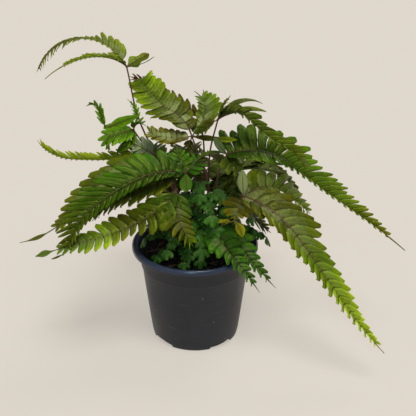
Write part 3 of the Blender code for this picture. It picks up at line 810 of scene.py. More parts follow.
def leaf_material(name, roughness, specular, edge, rear, silver, glow, crinkle, sheen=SHEEN):
    """A leaf's finish: its tint, lighter towards the edge, with veins, a silver band and a dull back.
    The darkening towards the rib and the dark lines between the lobes are painted shade, and the
    silver band is partly a painted highlight. Some light comes through it."""
    material, tree, shader = new_material(name, roughness, specular)
    shader["Specular Tint"].default_value = (*sheen, 1)
    place = place_on_object(tree)
    tint = node(tree, "Attribute", attribute_name="tint").outputs["Color"]
    zone = node(tree, "Attribute", attribute_name="zone").outputs["Vector"]
    tone = node(tree, "Attribute", attribute_name="tone").outputs["Fac"]
    under = node(tree, "Attribute", attribute_name="under").outputs["Fac"]
    outward, across, silver_and_glint = node(tree, "SeparateXYZ", {0: zone}).outputs
    patchy = effect(tree, mottle, Position=place, Stretch=(1, 1, 1), Scale=210.0, Depth=1.8)["Value"]
    fine = effect(tree, mottle, Position=place, Stretch=(1, 1, 1), Scale=1400.0, Depth=1.6)["Value"]
    puckers = effect(tree, mottle, Position=place, Stretch=(1, 1, 1), Scale=380.0, Depth=2.0)["Value"]
    vein = effect(tree, veins, Along=outward, Across=across, Count=9.0)
    pale = effect(tree, band, Along=outward, Across=across, Silver=silver_and_glint, Patchy=patchy)["Value"]
    lit = maths(tree, "ADD", maths(tree, "MULTIPLY", tone, 0.45), 0.75)
    lit = maths(tree, "ADD", lit, maths(tree, "MULTIPLY", maths(tree, "SUBTRACT", patchy, 0.5), 0.5))
    # Painted shade: each lobe darker towards the rib
    lit = maths(tree, "MULTIPLY", lit, ramp(tree, outward, 0.0, 0.6, 0.6, 1.0))
    lit = node(tree, "CombineColor", {0: lit, 1: lit, 2: lit}).outputs[0]
    toned = blended(tree, 1.0, tint, lit, "MULTIPLY")
    toned = blended(tree, ramp(tree, outward, 0.45, 1.0), toned, edge, "MULTIPLY")
    # Painted shade: dark lines along the edges between the lobes, strongest near the rib, fading towards
    # the tips
    depth = ramp(tree, outward, 0.3, 1.0, 0.9, 0.12)
    between = maths(tree, "MULTIPLY", ramp(tree, across, 0.72, 1.0), depth)
    toned = blended(tree, maths(tree, "MULTIPLY", vein["Midvein"], 0.4), toned, colour(40, 46, 10))
    # The kind's own silver band, which on the lobes with the most tone and on young leaves is also a
    # painted highlight
    toned = blended(tree, maths(tree, "MULTIPLY", pale, 0.72), toned, silver)
    toned = blended(tree, maths(tree, "MULTIPLY", vein["Veins"], 0.22), toned, colour(34, 52, 8))
    # The painted shade between the lobes
    toned = blended(tree, between, toned, colour(16, 18, 4))
    backed = blended(tree, maths(tree, "MULTIPLY", under, 0.72), toned, rear)
    tree.links.new(backed, shader["Base Color"])
    dull = maths(tree, "MAXIMUM", under, pale)
    matt = maths(tree, "ADD", maths(tree, "MULTIPLY", dull, 0.22), roughness)
    tree.links.new(matt, shader["Roughness"])
    sunk = maths(tree, "ADD", maths(tree, "MULTIPLY", vein["Veins"], 0.8), vein["Midvein"])
    ridges = maths(tree, "SUBTRACT", maths(tree, "MULTIPLY", fine, 0.35), sunk)
    ridges = maths(tree, "ADD", ridges, maths(tree, "MULTIPLY", puckers, crinkle))
    bump = node(tree, "Bump", {"Height": ridges, "Strength": 0.7, "Distance": 0.22 * MM})
    tree.links.new(bump.outputs[0], shader["Normal"])
    through = blended(tree, 1.0, backed, (1.5, 1.9, 0.7), "MULTIPLY")
    soft = node(tree, "BsdfTranslucent", {"Color": through})
    solid = tree.nodes["Principled BSDF"]
    mixed = node(tree, "MixShader", {0: glow, 1: solid.outputs[0], 2: soft.outputs[0]})
    tree.links.new(mixed.outputs[0], tree.nodes["Material Output"].inputs["Surface"])
    return material


grown_leaf = leaf_material(
    "grown leaf", 0.26, 0.34, edge=(1.8, 1.6, 1.3), rear=colour(84, 94, 26),
    silver=colour(152, 160, 98), glow=0.18, crinkle=1.2,
)
rib_brown = stalk_material("leaflet rib", colour(84, 46, 26), colour(92, 84, 34), specular=0.3)


def knot_shell(place):
    """The small swelling where the leaflets part from the stalk."""
    points, faces = ball(KNOT_RADIUS, 2)
    return as_stem({"points": points + place, "faces": faces, "marks": {"tone": np.zeros(len(points))}})


def all_leaf_shells(top, leaflets, rng):
    """The shells of a frond's leaflets, which start at its knot or off an earlier leaflet's rib."""
    lines, shells = [], []
    for leaf in leaflets:
        start = np.array(top, float)
        if leaf["off"]:
            parent, distance = leaf["off"]
            start = lines[parent](distance)[0][0]
        lines.append(rib_line(start, leaf))
        shells += leaf_shells(lines[-1], leaf, rng)
    return shells


def make_frond(name, foot, route, leaflets, seed):
    """A grown frond: its stalk, and the blade of all its leaflets with their ribs. The foot is where
    it leaves the soil, and the route's last point is its knot."""
    rng = np.random.default_rng(seed)
    make_stalk(name, foot, route)
    shells = [knot_shell(route[-1]), *all_leaf_shells(route[-1], leaflets, rng)]
    dressed(make_piece(name + "_leaflets", shells, [grown_leaf, rib_brown]), "leaf", name + "_blade")


# The tallest frond, on the left. Its stalk leans far out, and two narrow leaflets arch over to the
# left and hang down, olive at their tips.

make_frond(
    "high_left", (-1, 29), [(-18, 38, 138), (-55, 50, 213), (-68, 52, 275)],
    [
        leaflet(
            121, (154, 186), (58, -73), 19,
            ((4, 3, 2, 1.5, 3, 8, 9, 9, 7, 3), (10, 12, 10, 4, 2, 2, 4, 2, 2, 1.5)), bare=8,
            lift=((25, -45), (35, -25)), sweep=((15, 20, 10, 20, 25), (30, 45, 50, 50)),
            fill=(1.35, 1.1, 0.8, 0.75), point=(-0.4, 0, 0.6, 0.7),
            tint=((96, 112, 20), (116, 126, 22), (116, 118, 20)), silver=(0.7, 0.3, 0),
        ),
        leaflet(
            98, (224, 195), (45, -41), 14, ((6, 3, 1, 1, 1, 1), (13, 8, 5, 6, 5, 3, 4, 1)), tail=24,
            ending=(0.8, 0.6, 0.5, 0.4, 0.3), lift=((25, -30), (40, 20, 15)),
            sweep=((35, 60), (30, 55, 60)), fill=(1.1, 0.9, 0.85), point=(-0.3, 0.4, 0.8),
            tint=((96, 110, 20), (140, 156, 24)),
        ),
        whole_leaf(
            27, (27, 34), (24, 14), (5, 8, 6.5, 4, 4, 4.6, 3.8, 0.8), lift=(40, -25), tint=(MOSS, OLIVE),
        ),
        whole_leaf(35, (342, 329), (10, 42), (1, 0.5, 0.5, 0.6, 0.5, 1.2, 1.9, 1.7, 0.4)),
    ],
    seed=11,
)


# The frond in the middle holds its broad leaflets up: lime green at their ends, silvery beside
# red-brown ribs at their feet.

make_frond(
    "upper_centre", (7, 26), [(12, 24, 135), (12, 22, 167), (-3, 30, 209)],
    [
        leaflet(
            106, (136, 141, 145, 40), (68, 5, 47, -55), 13,
            ((11, 15, 17, 17, 15, 13, 11, 8), (9, 14, 18, 20, 19, 16, 13, 9)), bare=7, lift=(-22, 28),
            sweep=((25, 30), (5, 20, 28)), fill=(1.1, 1.4, 1.6), point=(0.0, -0.3, -0.6),
            tint=((64, 62, 10), (76, 88, 10), (110, 138, 8), (128, 156, 8)),
            silver=(1.0, 0.8, 0.3, 0.0, 0),
        ),
        leaflet(
            67, (34, 138), (38, 12), 9, ((8, 9, 9, 8, 5), (11, 14, 15, 13, 8)), tail=12,
            ending=(0.8, 0.6, 0.5, 0.4, 0.3), lift=(15, 15), sweep=((26, 38), (26, 38)), fill=(1.5, 1.6),
            point=(-0.5, -0.4), tint=((62, 66, 12), (76, 96, 12), (96, 128, 14)), silver=(1.0, 0.7, 0.2),
        ),
        leaflet(
            47, (180, 192), (-14, 30), 8, ((8, 9, 9, 8, 6), (10, 12, 12, 12, 9)), tail=3, lift=(-5, 24),
            sweep=((30, 44), (8, 20)), wide=(1.7, 1.0), blunt=(0.6, 0.0), fill=(1.15, 1.15),
            point=(-0.4, -0.3), tint=((84, 72, 16), OLIVE), silver=(1.0, 1.0, 0.8),
        ),
        whole_leaf(
            48, (343, 340), (-2, 8), (2, 3, 3.6, 3, 2.6, 2.6, 3.4, 3.6, 2, 0.2), lift=(38, -30),
            tint=((56, 60, 12), (80, 88, 12), (160, 176, 20)),
        ),
        leaflet(
            22, (240, 245), (-60, -50), 4, (7, 6), lift=(20, 20), point=(0, 0.4),
            tint=((62, 50, 10), (58, 64, 10)),
        ),
    ],
    seed=12,
)


# Two fronds arch to the right: one narrow, that turns from nearly black-green to olive, and one long
# and open, whose lobes stand apart on one side and turn to teeth along a drawn-out tip.

make_frond(
    "arching_right", (12, 31), [(14, 31, 137), (15, 27, 190), (23, 18, 232)],
    [
        leaflet(
            116, (352, 330, 337, 389), (55, -40, -22, -70), 14,
            ((6, 8, 10, 11, 10, 7), (7, 6, 4, 3, 3, 2)), lift=(30, 4), sweep=((30, 44, 50), (20, 45)),
            fill=(1.05, 0.95), point=(0.2, 0.5), tint=((34, 40, 8), (70, 88, 10), (104, 116, 14)),
        ),
        leaflet(28, (4, 36), (78, 41), 4, 4, lift=(0, 0), point=(0.8, 1.2), tint=(DEEP, OLIVE)),
        whole_leaf(
            58, (37, 24), (50, -36), (1.2, 2.4, 3.2, 3.4, 2.8, 2.2, 1.4, 0.6, 0.3), lift=(30, -20),
            tint=((60, 76, 12), (84, 100, 16)),
        ),
        whole_leaf(
            52, (20, 8), (30, -22), (1.2, 2.2, 3, 3.6, 3.8, 3.2, 2, 0.4), lift=(30, -10),
            tint=((56, 70, 10), (116, 128, 20)),
        ),
        leaflet(30, (200, 215), (-20, -40), 4, 9, lift=(10, 10), tint=((64, 60, 14), DEEP)),
    ],
    seed=13,
)

make_frond(
    "upper_right", (14, 23), [(18, 18, 135), (23, 13, 172), (32, 10, 198)],
    [
        leaflet(
            217, (359, 352, 352, 354), (22, -40, -34, -41), 25,
            ((26, 29, 27, 23, 21, 19, 16, 13, 10, 7, 4), (9, 14, 13, 8, 4, 2.4, 1.4, 1, 0.8, 0.8, 0.8)),
            bare=1, tail=26, ending=(0.9, 0.8, 0.7, 0.6, 0.4), lift=(38, -12),
            sweep=((-12, -14, 0, 36, 42, 44, 46, 48, 48, 48, 48), (20, 45)), droop=(14, 20),
            wide=(1.0, 1.4), blunt=(0.0, 0.6), crowding=1.0, fill=(1.02, 1.1, 1.1), point=(-0.2, 0.4),
            # Its right-hand lobes hang under the rib and are darker there: painted shade
            dark=(1.0, 0.7), tint=((36, 66, 6), (70, 104, 10), (100, 124, 14), (118, 118, 18)),
            silver=(0.05, 0.0, 0),
        ),
        whole_leaf(
            30, (184, 216), (24, -19), (1.5, 2.6, 3.2, 3.4, 3.0, 2.4, 1.6, 0.3), tint=(DEEP, MOSS),
        ),
        leaflet(
            30, (309, 338), (-40, -30), 4, (7, 15), bare=2, lift=(15, 5), sweep=((20, 45), (10, 30)),
            fill=(1.08, 1.0), point=(0, 0.3), tint=((48, 64, 12), (64, 84, 14)),
        ),
        whole_leaf(
            25, (206, 203), (53, 56), (3, 4.2, 4.6, 4.6, 4.2, 3, 0.4), lift=(-60, 60),
            tint=((56, 92, 60), (56, 92, 60)), silver=0.5,
        ),
    ],
    seed=14,
)


# A long, heavy leaflet falls over the pot's rim to the right, with crowned, glossy lobes that turn
# from olive to lime. Its neighbours are shorter, and a small silvery leaf stands up beside them.

make_frond(
    "right_front", (8, 15), [(15, 6, 126), (38, -18, 158), (48, -25, 168)],
    [
        leaflet(
            213, (326, 327, 332, 344), (0, -47, -50, -45), 20,
            ((22, 26, 26, 24, 21, 19, 17, 15, 11, 7, 4), (12, 13, 13, 12, 10, 8, 7, 6, 4, 2.5, 1.5)),
            bare=2, tail=14, lift=(16, -16), sweep=((26, 36, 38, 42, 46, 50), (26, 30, 32, 34, 36)),
            droop=(22, 10), wide=(1.0, 1.3), blunt=(0.0, 0.5), fill=(1.35, 1.3, 1.2),
            point=(0.4, 0.6, 0.7), crown=0.22, shingle=0.4, rib=1.25,
            tint=((62, 60, 8), (74, 84, 8), (104, 132, 10), (156, 182, 18), (190, 212, 34)),
            # Its silver near the foot is partly a painted highlight, the white gloss on its crowned lobes
            silver=(0.5, 0.3, 0.2, 0.15, 0.2),
        ),
        leaflet(
            92, (37, 22, 11), (30, -37, -51), 11, ((17, 20, 19, 17, 14, 10, 6), 15), bare=2,
            lift=(36, -35), sweep=((10, 32, 46, 50), (30, 45)), fill=(1.3, 1.2), point=(-0.2, 0.2),
            crown=0.24, shingle=0.45, tint=((74, 84, 8), (96, 118, 10), (128, 150, 14)),
            # Its silver near the foot is partly a painted highlight, the gloss on its lobes
            silver=(0.5, 0.25, 0.1),
        ),
        leaflet(
            30, (236, 250), (-42, -48), 5, (15, 17), tail=6, lift=(5, 5), sweep=((-5, 20), (-5, 20)),
            fill=(1.08, 1.0), point=(-0.3, 0.0), tint=((64, 56, 10), (104, 100, 10)), silver=(0.1, 0.3),
        ),
        whole_leaf(
            27, (97, 104), (76, 68), (2.4, 4.4, 5.4, 5.8, 5.6, 4.6, 2.6, 0.3), lift=(8, 8),
            tint=((88, 112, 72), (92, 118, 74)), silver=1.0,
        ),
        whole_leaf(
            18, (317, 299), (-35, -58), (3, 5, 5.6, 5, 3.4, 0.4), off=(2, 26),
            tint=((132, 124, 14), (150, 148, 18)),
        ),
        leaflet(
            20, (194, 190), (-15, 21), 3, 5, off=(2, 26), tail=6, point=(0.6, 1.0),
            tint=((112, 100, 14), (140, 140, 18)),
        ),
    ],
    seed=15,
)


# Four fronds go to the left. The biggest spreads low, a broad leaflet with close lobes over looser
# ones. A thin toothed one reaches far out, one hangs in front of the pot with a leaf-like end, and
# a small fresh green one stands up behind them.

make_frond(
    "big_left", (2, 20), [(0, 8, 140), (-4, 2, 165), (-9, -5, 185)],
    [
        leaflet(
            155, (202, 209, 208, 219), (21, -13, -30, -73), 21,
            ((6, 8, 9, 9, 9, 8, 6, 3), (20, 23, 23, 21, 19, 16, 12, 6)), bare=2, lift=(-34, 38),
            sweep=((30, 48), (-12, 12, 42, 50, 50, 48)), droop=(24, 16), wide=(1.2, 1.0),
            blunt=(0.4, 0.0), crowding=1.05, fill=(1.06, 1.02), point=(0.1, 0.5), crown=0.2,
            # The lobes on its left hang under the rib and are darker there: painted shade
            dark=((0.35, 0.4, 0.7, 1.0), 1.0),
            tint=((32, 74, 6), (46, 90, 6), (60, 90, 8), (84, 92, 12)),
        ),
        leaflet(
            190, (162, 197, 210, 182), (19, -18, -44, -10), 12,
            ((9, 10, 10, 9, 7, 3), (15, 18, 18, 15, 10, 4)), bare=30, tail=40,
            ending=(0.5, 0.6, 0.5, 1.6, 2.4, 2.2, 1.3, 0.5, 0.3, 0.25), lift=(-30, 25), wide=(1.3, 1.0),
            blunt=(0.5, 0.0), fill=(1.4, 1.2), point=(-0.3, 0.2), shingle=0.12,
            tint=((70, 88, 10), (92, 96, 14)), silver=(0.9, 0.7, 0.5, 0.3, 0),
        ),
        leaflet(
            30, (39, 37), (27, 40), 5, 17, bare=1, tail=8, lift=(10, 10), sweep=((0, 30), (0, 30)),
            fill=(1.1, 1.04), point=(-0.3, 0.1), tint=((42, 90, 10), (56, 96, 12)), silver=(0.1, 0.1),
        ),
        whole_leaf(
            20, (280, 262), (-58, -49), (3.5, 5.6, 6.4, 6.6, 6.2, 4.6, 0.6), rib=0.4,
            tint=((56, 104, 10), (56, 104, 10)), silver=0.1,
        ),
        leaflet(
            107, (180, 202, 195), (-31, -8, -47), 11, 13, bare=12, lift=(-10, 15), fill=(1.3, 1.2),
            point=(-0.2, 0.2), tint=((84, 90, 14), (80, 98, 14)),
        ),
        leaflet(
            30, (120, 110), (38, 46), 5, 12, bare=1, lift=(10, 10), sweep=((0, 30), (0, 30)),
            fill=(1.3, 1.1), point=(-0.1, 0.3), tint=((44, 94, 8), (58, 96, 10)),
        ),
    ],
    seed=16,
)

make_frond(
    "far_left", (-7, 23), [(-17, 28, 147), (-41, 32, 187)],
    [
        leaflet(
            128, (185, 198, 191, 203), (-7, 5, 9, 64), 21,
            ((2, 1.5, 1, 1, 1), (13, 11, 8, 8, 8, 7, 6, 4)), bare=12, tail=7, lift=(2, 46),
            sweep=((35, 60), (34, 46, 50)), fill=(1.0, 0.85), point=(0.3, 0.8),
            tint=((112, 124, 16), (150, 164, 26)),
        ),
        leaflet(
            30, (176, 190), (40, 12), 4, (9, 11), bare=3, lift=(-50, 50), sweep=((20, 40), (20, 40)),
            fill=(1.2, 1.1), point=(-0.3, 0), tint=((116, 132, 100), (128, 142, 110)), silver=(1.0, 1.0),
        ),
    ],
    seed=17,
)

make_frond(
    "lower_left", (-4, 16), [(-8, 3, 136), (-18, -15, 171)],
    [
        leaflet(
            157, (229, 197, 202, 183), (-36, -20, -5, -19), 14,
            ((17, 19, 17, 12, 9, 13, 14, 12, 10, 8, 5), (14, 18, 18, 17, 19, 19, 13, 11, 9, 7, 4)),
            bare=14, tail=24, ending=(0.5, 0.5, 1.4, 3.2, 3.8, 3.2, 1.5, 0.3), lift=(-22, 28),
            sweep=((15, 20, 35), (20, 20, 30)), fill=(1.1, 1.04, 0.88, 0.96, 1.08, 1.06),
            point=(-0.3, 0),
            tint=((60, 80, 10), (72, 84, 10), (84, 84, 12), (140, 168, 20), (84, 112, 18), (84, 112, 22)),
            silver=(0.0, 0.0, 0.1, 0.3, 0.2),
        ),
        leaflet(
            62, (256, 346), (-46, -56), 8, ((13, 13, 11, 9, 7), (19, 19, 16, 12, 6)), lift=(8, 8),
            sweep=((20, 35), (8, 30)), fill=(1.0, 0.92), point=(0.0, 0.4),
            tint=((44, 74, 8), (62, 80, 8), (92, 88, 10), (112, 138, 16)), silver=(0.1, 0.3, 0),
        ),
        leaflet(
            22, (215, 190, 182), (-60, -40, 0), 1, 0.8, off=(0, 124), bare=1, tail=20,
            ending=(0.4, 0.4, 0.6, 1.8, 2.3, 1.8, 0.3), rib=0.4, tint=(OLIVE, OLIVE),
        ),
        leaflet(
            50, (231, 219), (-34, -66), 6, 12, lift=(8, 8), point=(-0.2, 0.2),
            tint=((54, 80, 10), DEEP), silver=0.2,
        ),
        leaflet(
            46, (244, 225), (-59, -68), 5, (12, 10), lift=(8, 8), point=(0, 0.4),
            tint=((44, 64, 10), DEEP),
        ),
    ],
    seed=18,
)

make_frond(
    "small_left", (-6, 33), [(-25, 32, 138), (-46, 37, 185), (-62, 37, 213)],
    [
        whole_leaf(31, (177, 164), (2, 2), (2, 4, 4, 3, 5, 5, 3, 2), lift=(-50, 60), tint=(FRESH, FRESH)),
        whole_leaf(
            36, (0, 0), (22, 22), (3.6, 5.2, 5.6, 5, 4.4, 3.2, 1.8, 0.3), off=(0, 27), lift=(50, -60),
            tint=(FRESH, FRESH),
        ),
        leaflet(
            36, (171, 152, 183), (64, 79, -48), 5, 4.5, off=(0, 29), bare=3, tail=4,
            lift=(-30, 30), sweep=((45, 50), (45, 50)), point=(0.1, 0.5), rib=0.4, tint=(FRESH, MOSS),
        ),
        leaflet(
            45, (215, 197, 338), (-4, -6, -71), 7, (11, 10), bare=2, lift=(-30, 30),
            sweep=((20, 50), (20, 50)), fill=(1.5, 1.4), point=(-0.1, 0.6),
            tint=((72, 116, 12), (80, 120, 14)),
        ),
        leaflet(
            20, (213, 207), (-60, 10), 3, 10, bare=1, lift=(-20, 30), fill=(1.2, 1.2),
            point=(0, 0.4), tint=((84, 120, 16), FRESH),
        ),
        whole_leaf(
            33, (316, 203, 178), (-102, -15, -55), (0.8, 0.8, 2, 4.4, 4.8, 4, 2.6, 0.3), lift=(-50, 50),
            tint=(FRESH, MOSS),
        ),
        leaflet(20, (340, 322), (82, -33), 3, 8, bare=2, point=(0.2, 0.8), tint=(MOSS, FRESH)),
        leaflet(
            35, (31, 197), (58, 51), 5, 4, bare=12, point=(0.4, 0.9), rib=0.4, tint=(FRESH, FRESH),
        ),
    ],
    seed=19,
)


# Two fronds lie low on the right. One drapes over the rim, its blue-green lobes shingled like
# feathers, and one short dark one is in the shade behind it.

DRAPED = {
    "tail": 12, "lift": (42, -15), "sweep": ((15, 40), (15, 40)), "fill": (1.2, 1.0),
    "point": (-0.6, -0.2, 0.3), "crown": 0.3, "shingle": 0.36,
    "tint": ((30, 76, 12), (56, 102, 24)), "silver": (0.3, 0.2),
}

make_frond(
    "draped_right", (8, 8), [(14, 0, 113), (19, -12, 124)],
    [
        leaflet(
            90, (285, 330), (0, -50), 8,
            ((13, 17, 16, 12, 9, 7, 5, 2), (13, 15, 13, 10, 7, 6, 4, 2)), **DRAPED,
        ),
        leaflet(
            94, (318, 307, 337), (8, -27, -42), 8,
            ((14, 17, 16, 12, 9, 7, 5, 2), (13, 15, 13, 9, 6, 5, 3, 1)), **DRAPED,
        ),
    ],
    seed=20,
)

make_frond(
    "dark_right", (17, 16), [(28, 15, 128), (41, 14, 143)],
    [
        leaflet(
            51, (9, -18), (-50, -34), 6, 14, lift=(20, 5), fill=(1.1, 1.0), point=(-0.2, 0.2),
            tint=((40, 58, 12), (62, 60, 14)),
        ),
        leaflet(30, (250, 235), (-30, -60), 4, 11, lift=(10, 10), point=(-0.2, 0.2), tint=(DEEP, DEEP)),
    ],
    seed=21,
)


# Five shorter fronds fill the back of the pot, as a fern grows all round. They are like the front
# ones, dark olive green, and lean out and down on all sides.

BACK_LOOK = {
    "fill": (1.12, 1.04), "point": (-0.3, 0.2), "tint": ((46, 62, 10), (58, 72, 12)), "silver": (0.2, 0.1),
}
# Each one's foot and route, and its leaflets: length, heading, pitch, lobes and reach
BACK_FRONDS = {
    "back_left": (
        (-9, 39), [(-24, 56, 138), (-38, 78, 160)],
        [
            (82, (150, 168), (-10, -68), 9, 11), (84, (105, 112), (15, -66), 9, 14),
            (52, (176, 170), (0, -60), 7, 11),
        ],
    ),
    "back_centre": (
        (1, 42), [(0, 68, 136), (-4, 92, 152)],
        [
            (100, (100, 96), (12, -70), 12, 16), (74, (148, 160), (8, -62), 9, 13),
            (70, (55, 62), (8, -62), 9, 13), (52, (350, 340), (-5, -50), 7, 12),
            (44, (290, 280), (-30, -70), 6, 12), (40, (250, 235), (-20, -60), 6, 11),
        ],
    ),
    "back_right": (
        (18, 37), [(32, 56, 136), (46, 75, 150)],
        [
            (84, (14, 4), (8, -66), 9, 13), (92, (48, 55), (12, -68), 10, 14),
            (56, (88, 92), (15, -50), 7, 10), (52, (192, 204), (5, -40), 7, 13),
            (50, (215, 230), (-20, -60), 7, 13), (44, (255, 262), (-30, -66), 6, 12),
        ],
    ),
    "low_back_right": (
        (22, 30), [(29, 52, 112), (33, 66, 120)],
        [
            (78, (72, 80), (6, -58), 9, 12), (60, (22, 12), (6, -50), 8, 11),
            (44, (170, 180), (40, -20), 7, 12), (46, (120, 160), (60, 10), 7, 12),
            (44, (215, 225), (20, -50), 6, 11),
        ],
    ),
    "low_back_left": (
        (-15, 30), [(-24, 48, 112), (-29, 64, 120)],
        [
            (74, (128, 146), (6, -58), 9, 12), (64, (98, 94), (6, -60), 8, 11),
            (46, (20, 350), (50, -10), 7, 12), (44, (330, 320), (20, -50), 6, 11),
            (44, (70, 40), (60, 20), 6, 11),
        ],
    ),
}

for seed, (name, (foot, route, sizes)) in enumerate(BACK_FRONDS.items(), 40):
    make_frond(name, foot, route, [leaflet(*size, **BACK_LOOK) for size in sizes], seed)


# Short young fronds crowd round the foot of the grown ones. Their leaves are small, fan-shaped and
# lobed, dark bluish green and glossy, on thin green stalks.

YOUNG_SEED = 31
YOUNG_STALK_RADIUS = 0.55
YOUNG_PITCH = 25.0
YOUNG_DROOP = 75.0
LEAF_SPREAD = (45, 70)
LEAF_DROOP = (5, 40)
FAN_HALF_ANGLE = 74.0
FAN_ROLL = 25.0
FAN_ROWS = 6
YOUNG_DARK = (14, 48, 6)
YOUNG_FRESH = (52, 112, 14)

# Its silver colour is a painted highlight: the glints on the glossy young leaves
young_leaf = leaf_material(
    "young leaf", 0.13, 0.45, edge=(1.8, 1.55, 1.2), rear=colour(44, 84, 20),
    silver=colour(140, 168, 96), glow=0.12, crinkle=5.0, sheen=(0.8, 1.0, 0.4),
)
young_stalk = stalk_material("young stalk", colour(70, 62, 30), colour(66, 96, 38))


def fan_leaf(place, heading, pitch, size, lobes, rng):
    """A small fan-shaped leaf with rounded lobes, bent down at its sides."""
    forward = direction(heading, pitch)
    level = direction(heading + 90, 0)
    roll = radians(rng.uniform(-FAN_ROLL, FAN_ROLL))
    across = level * cos(roll) + np.cross(forward, level) * sin(roll)
    normal = np.cross(forward, across)
    columns = np.linspace(-1, 1, 6 * lobes + 1)
    phase = (columns + 1) / 2 * lobes
    rows = np.linspace(0.08, 1, FAN_ROWS)[:, None]
    edge = (0.62 + 0.38 * np.abs(np.sin(pi * phase)) ** 0.5) * (1 - 0.25 * columns**2)
    angle = radians(FAN_HALF_ANGLE) * columns
    ahead, aside = size * rows * edge * np.cos(angle), size * rows * edge * np.sin(angle)
    wave = -0.07 * size * rows**2 * np.cos(2 * pi * phase)
    rise = -0.55 * aside**2 / size - 0.3 * ahead**2 / size + wave
    grid = place + ahead[..., None] * forward + aside[..., None] * across + rise[..., None] * normal
    from_lobe = np.abs(2 * (phase % 1) - 1)[None] * rows
    return patch(grid, rows, from_lobe, rng.uniform(0, 1), rng.uniform(-1.4, 1.5), False)


def young_paint(share, tone):
    """Each leaf from dark to fresh green, and on the few with the most tone a painted highlight in the
    silver colour.
    """
    shaded, fresh = (np.array(colour(*part)) for part in (YOUNG_DARK, YOUNG_FRESH))
    return shaded + (fresh - shaded) * share[:, None], 0.8 * np.clip(tone, 0, 1) ** 3


def young_frond(foot, top, heading, length, size, pairs, rng):
    """A short stalk, and a drooping rib with small leaves in pairs and one at its end. From the
    second pair on, a third leaf lies nearly in line with the rib."""
    ground, top = Vector((*foot, SOIL_LEVEL)), Vector(top)
    mid = ground.lerp(top, 0.5) + Vector(direction(heading, 0) * -2)
    path = smooth_route([ground, mid, top], 5)
    path.insert(0, ground - Vector((0, 0, ROOTED_DEPTH)))
    leaves, place, pitch = [], np.array(top), YOUNG_PITCH
    for pair in range(pairs):
        near_end = pair / pairs
        leaf_size = 0.9 * size * (1 - 0.35 * near_end)
        for side in (1, -1, 0.1) if pair else (1, -1):
            turn = heading + side * rng.uniform(*LEAF_SPREAD)
            start = place + direction(turn, pitch - 10) * leaf_size * 0.2
            sunk, lobes = rng.uniform(*LEAF_DROOP), int(rng.integers(3, 5))
            leaves.append(fan_leaf(start, turn, pitch - sunk, leaf_size, lobes, rng))
        place = place + direction(heading, pitch) * length / pairs
        pitch -= YOUNG_DROOP / pairs
        path.append(Vector(place))
    leaves.append(fan_leaf(place, heading, pitch, size * 0.95, 3, rng))
    stem = tube(path, np.linspace(1, 0.4, len(path)) * YOUNG_STALK_RADIUS, RIB_SIDES)
    return [blade_shell(leaves, young_paint), as_stem(stem)]


# Each clump's foot, and its fronds: top, heading, length, size of the leaves and pairs of them
YOUNG_CLUMPS = {
    "young_left": (
        (-10, 13),
        [
            ((-22, 2, 118), 210, 36, 11, 4), ((-16, -2, 104), 235, 28, 9, 3),
            ((-26, 8, 108), 190, 26, 9, 3),
        ],
    ),
    "young_front_left": (
        (-5, 8),
        [
            ((-12, -10, 120), 245, 38, 11, 4), ((-18, -8, 104), 225, 30, 9, 3),
            ((-8, -12, 102), 265, 28, 9, 3),
        ],
    ),
    "young_front": (
        (2, 6),
        [
            ((2, -6, 122), 278, 40, 13, 4), ((10, -4, 118), 300, 34, 13, 3),
            ((-3, -7, 108), 262, 28, 10, 3), ((16, -6, 110), 320, 32, 12, 3),
            ((6, -12, 104), 270, 26, 10, 3),
        ],
    ),
    "young_right": (
        (24, 15),
        [
            ((43, 9, 114), 338, 34, 12, 4), ((36, 3, 112), 308, 32, 12, 3),
            ((30, 4, 128), 300, 32, 12, 3), ((34, 8, 140), 320, 30, 12, 3),
        ],
    ),
    "young_centre": (
        (2, 14),
        [
            ((8, 7, 152), 285, 40, 13, 4), ((-4, 8, 140), 250, 34, 12, 3),
            ((18, 8, 140), 318, 36, 13, 3), ((5, 14, 166), 268, 30, 12, 3),
            ((10, 6, 134), 290, 34, 13, 3), ((16, 6, 158), 300, 34, 13, 3),
            ((-2, 10, 156), 255, 30, 12, 3), ((14, 4, 126), 282, 30, 12, 3),
            ((22, 10, 150), 330, 28, 12, 3), ((24, 4, 132), 300, 30, 13, 3),
            ((0, 2, 130), 260, 32, 12, 3), ((12, 2, 114), 275, 28, 11, 3),
            ((28, 8, 144), 340, 28, 12, 3), ((20, 2, 118), 310, 28, 12, 3),
            ((-8, 4, 126), 240, 28, 11, 3),
        ],
    ),
}

rng = np.random.default_rng(YOUNG_SEED)
for name, (foot, fronds) in YOUNG_CLUMPS.items():
    shells = [shell for frond in fronds for shell in young_frond(foot, *frond, rng)]
    dressed(make_piece(name + "_leaves", shells, [young_leaf, young_stalk]), "young_leaf", name)


# One frond at the back is only just uncurling. Its small leaflets are still half folded, and of the
# red-brown that, beside the silver and the green, gives the kind its name.

bronze_leaf = leaf_material(
    "bronze leaf", 0.42, 0.35, edge=(1.2, 1.4, 1.2), rear=colour(110, 66, 46),
    silver=colour(140, 120, 96), glow=0.12, crinkle=1.0,
)
bronze_stalk = stalk_material("bronze stalk", colour(70, 34, 24), colour(112, 52, 36))
BRONZE_SEED = 37
BRONZE = (104, 52, 30)
RUSSET = (96, 84, 26)

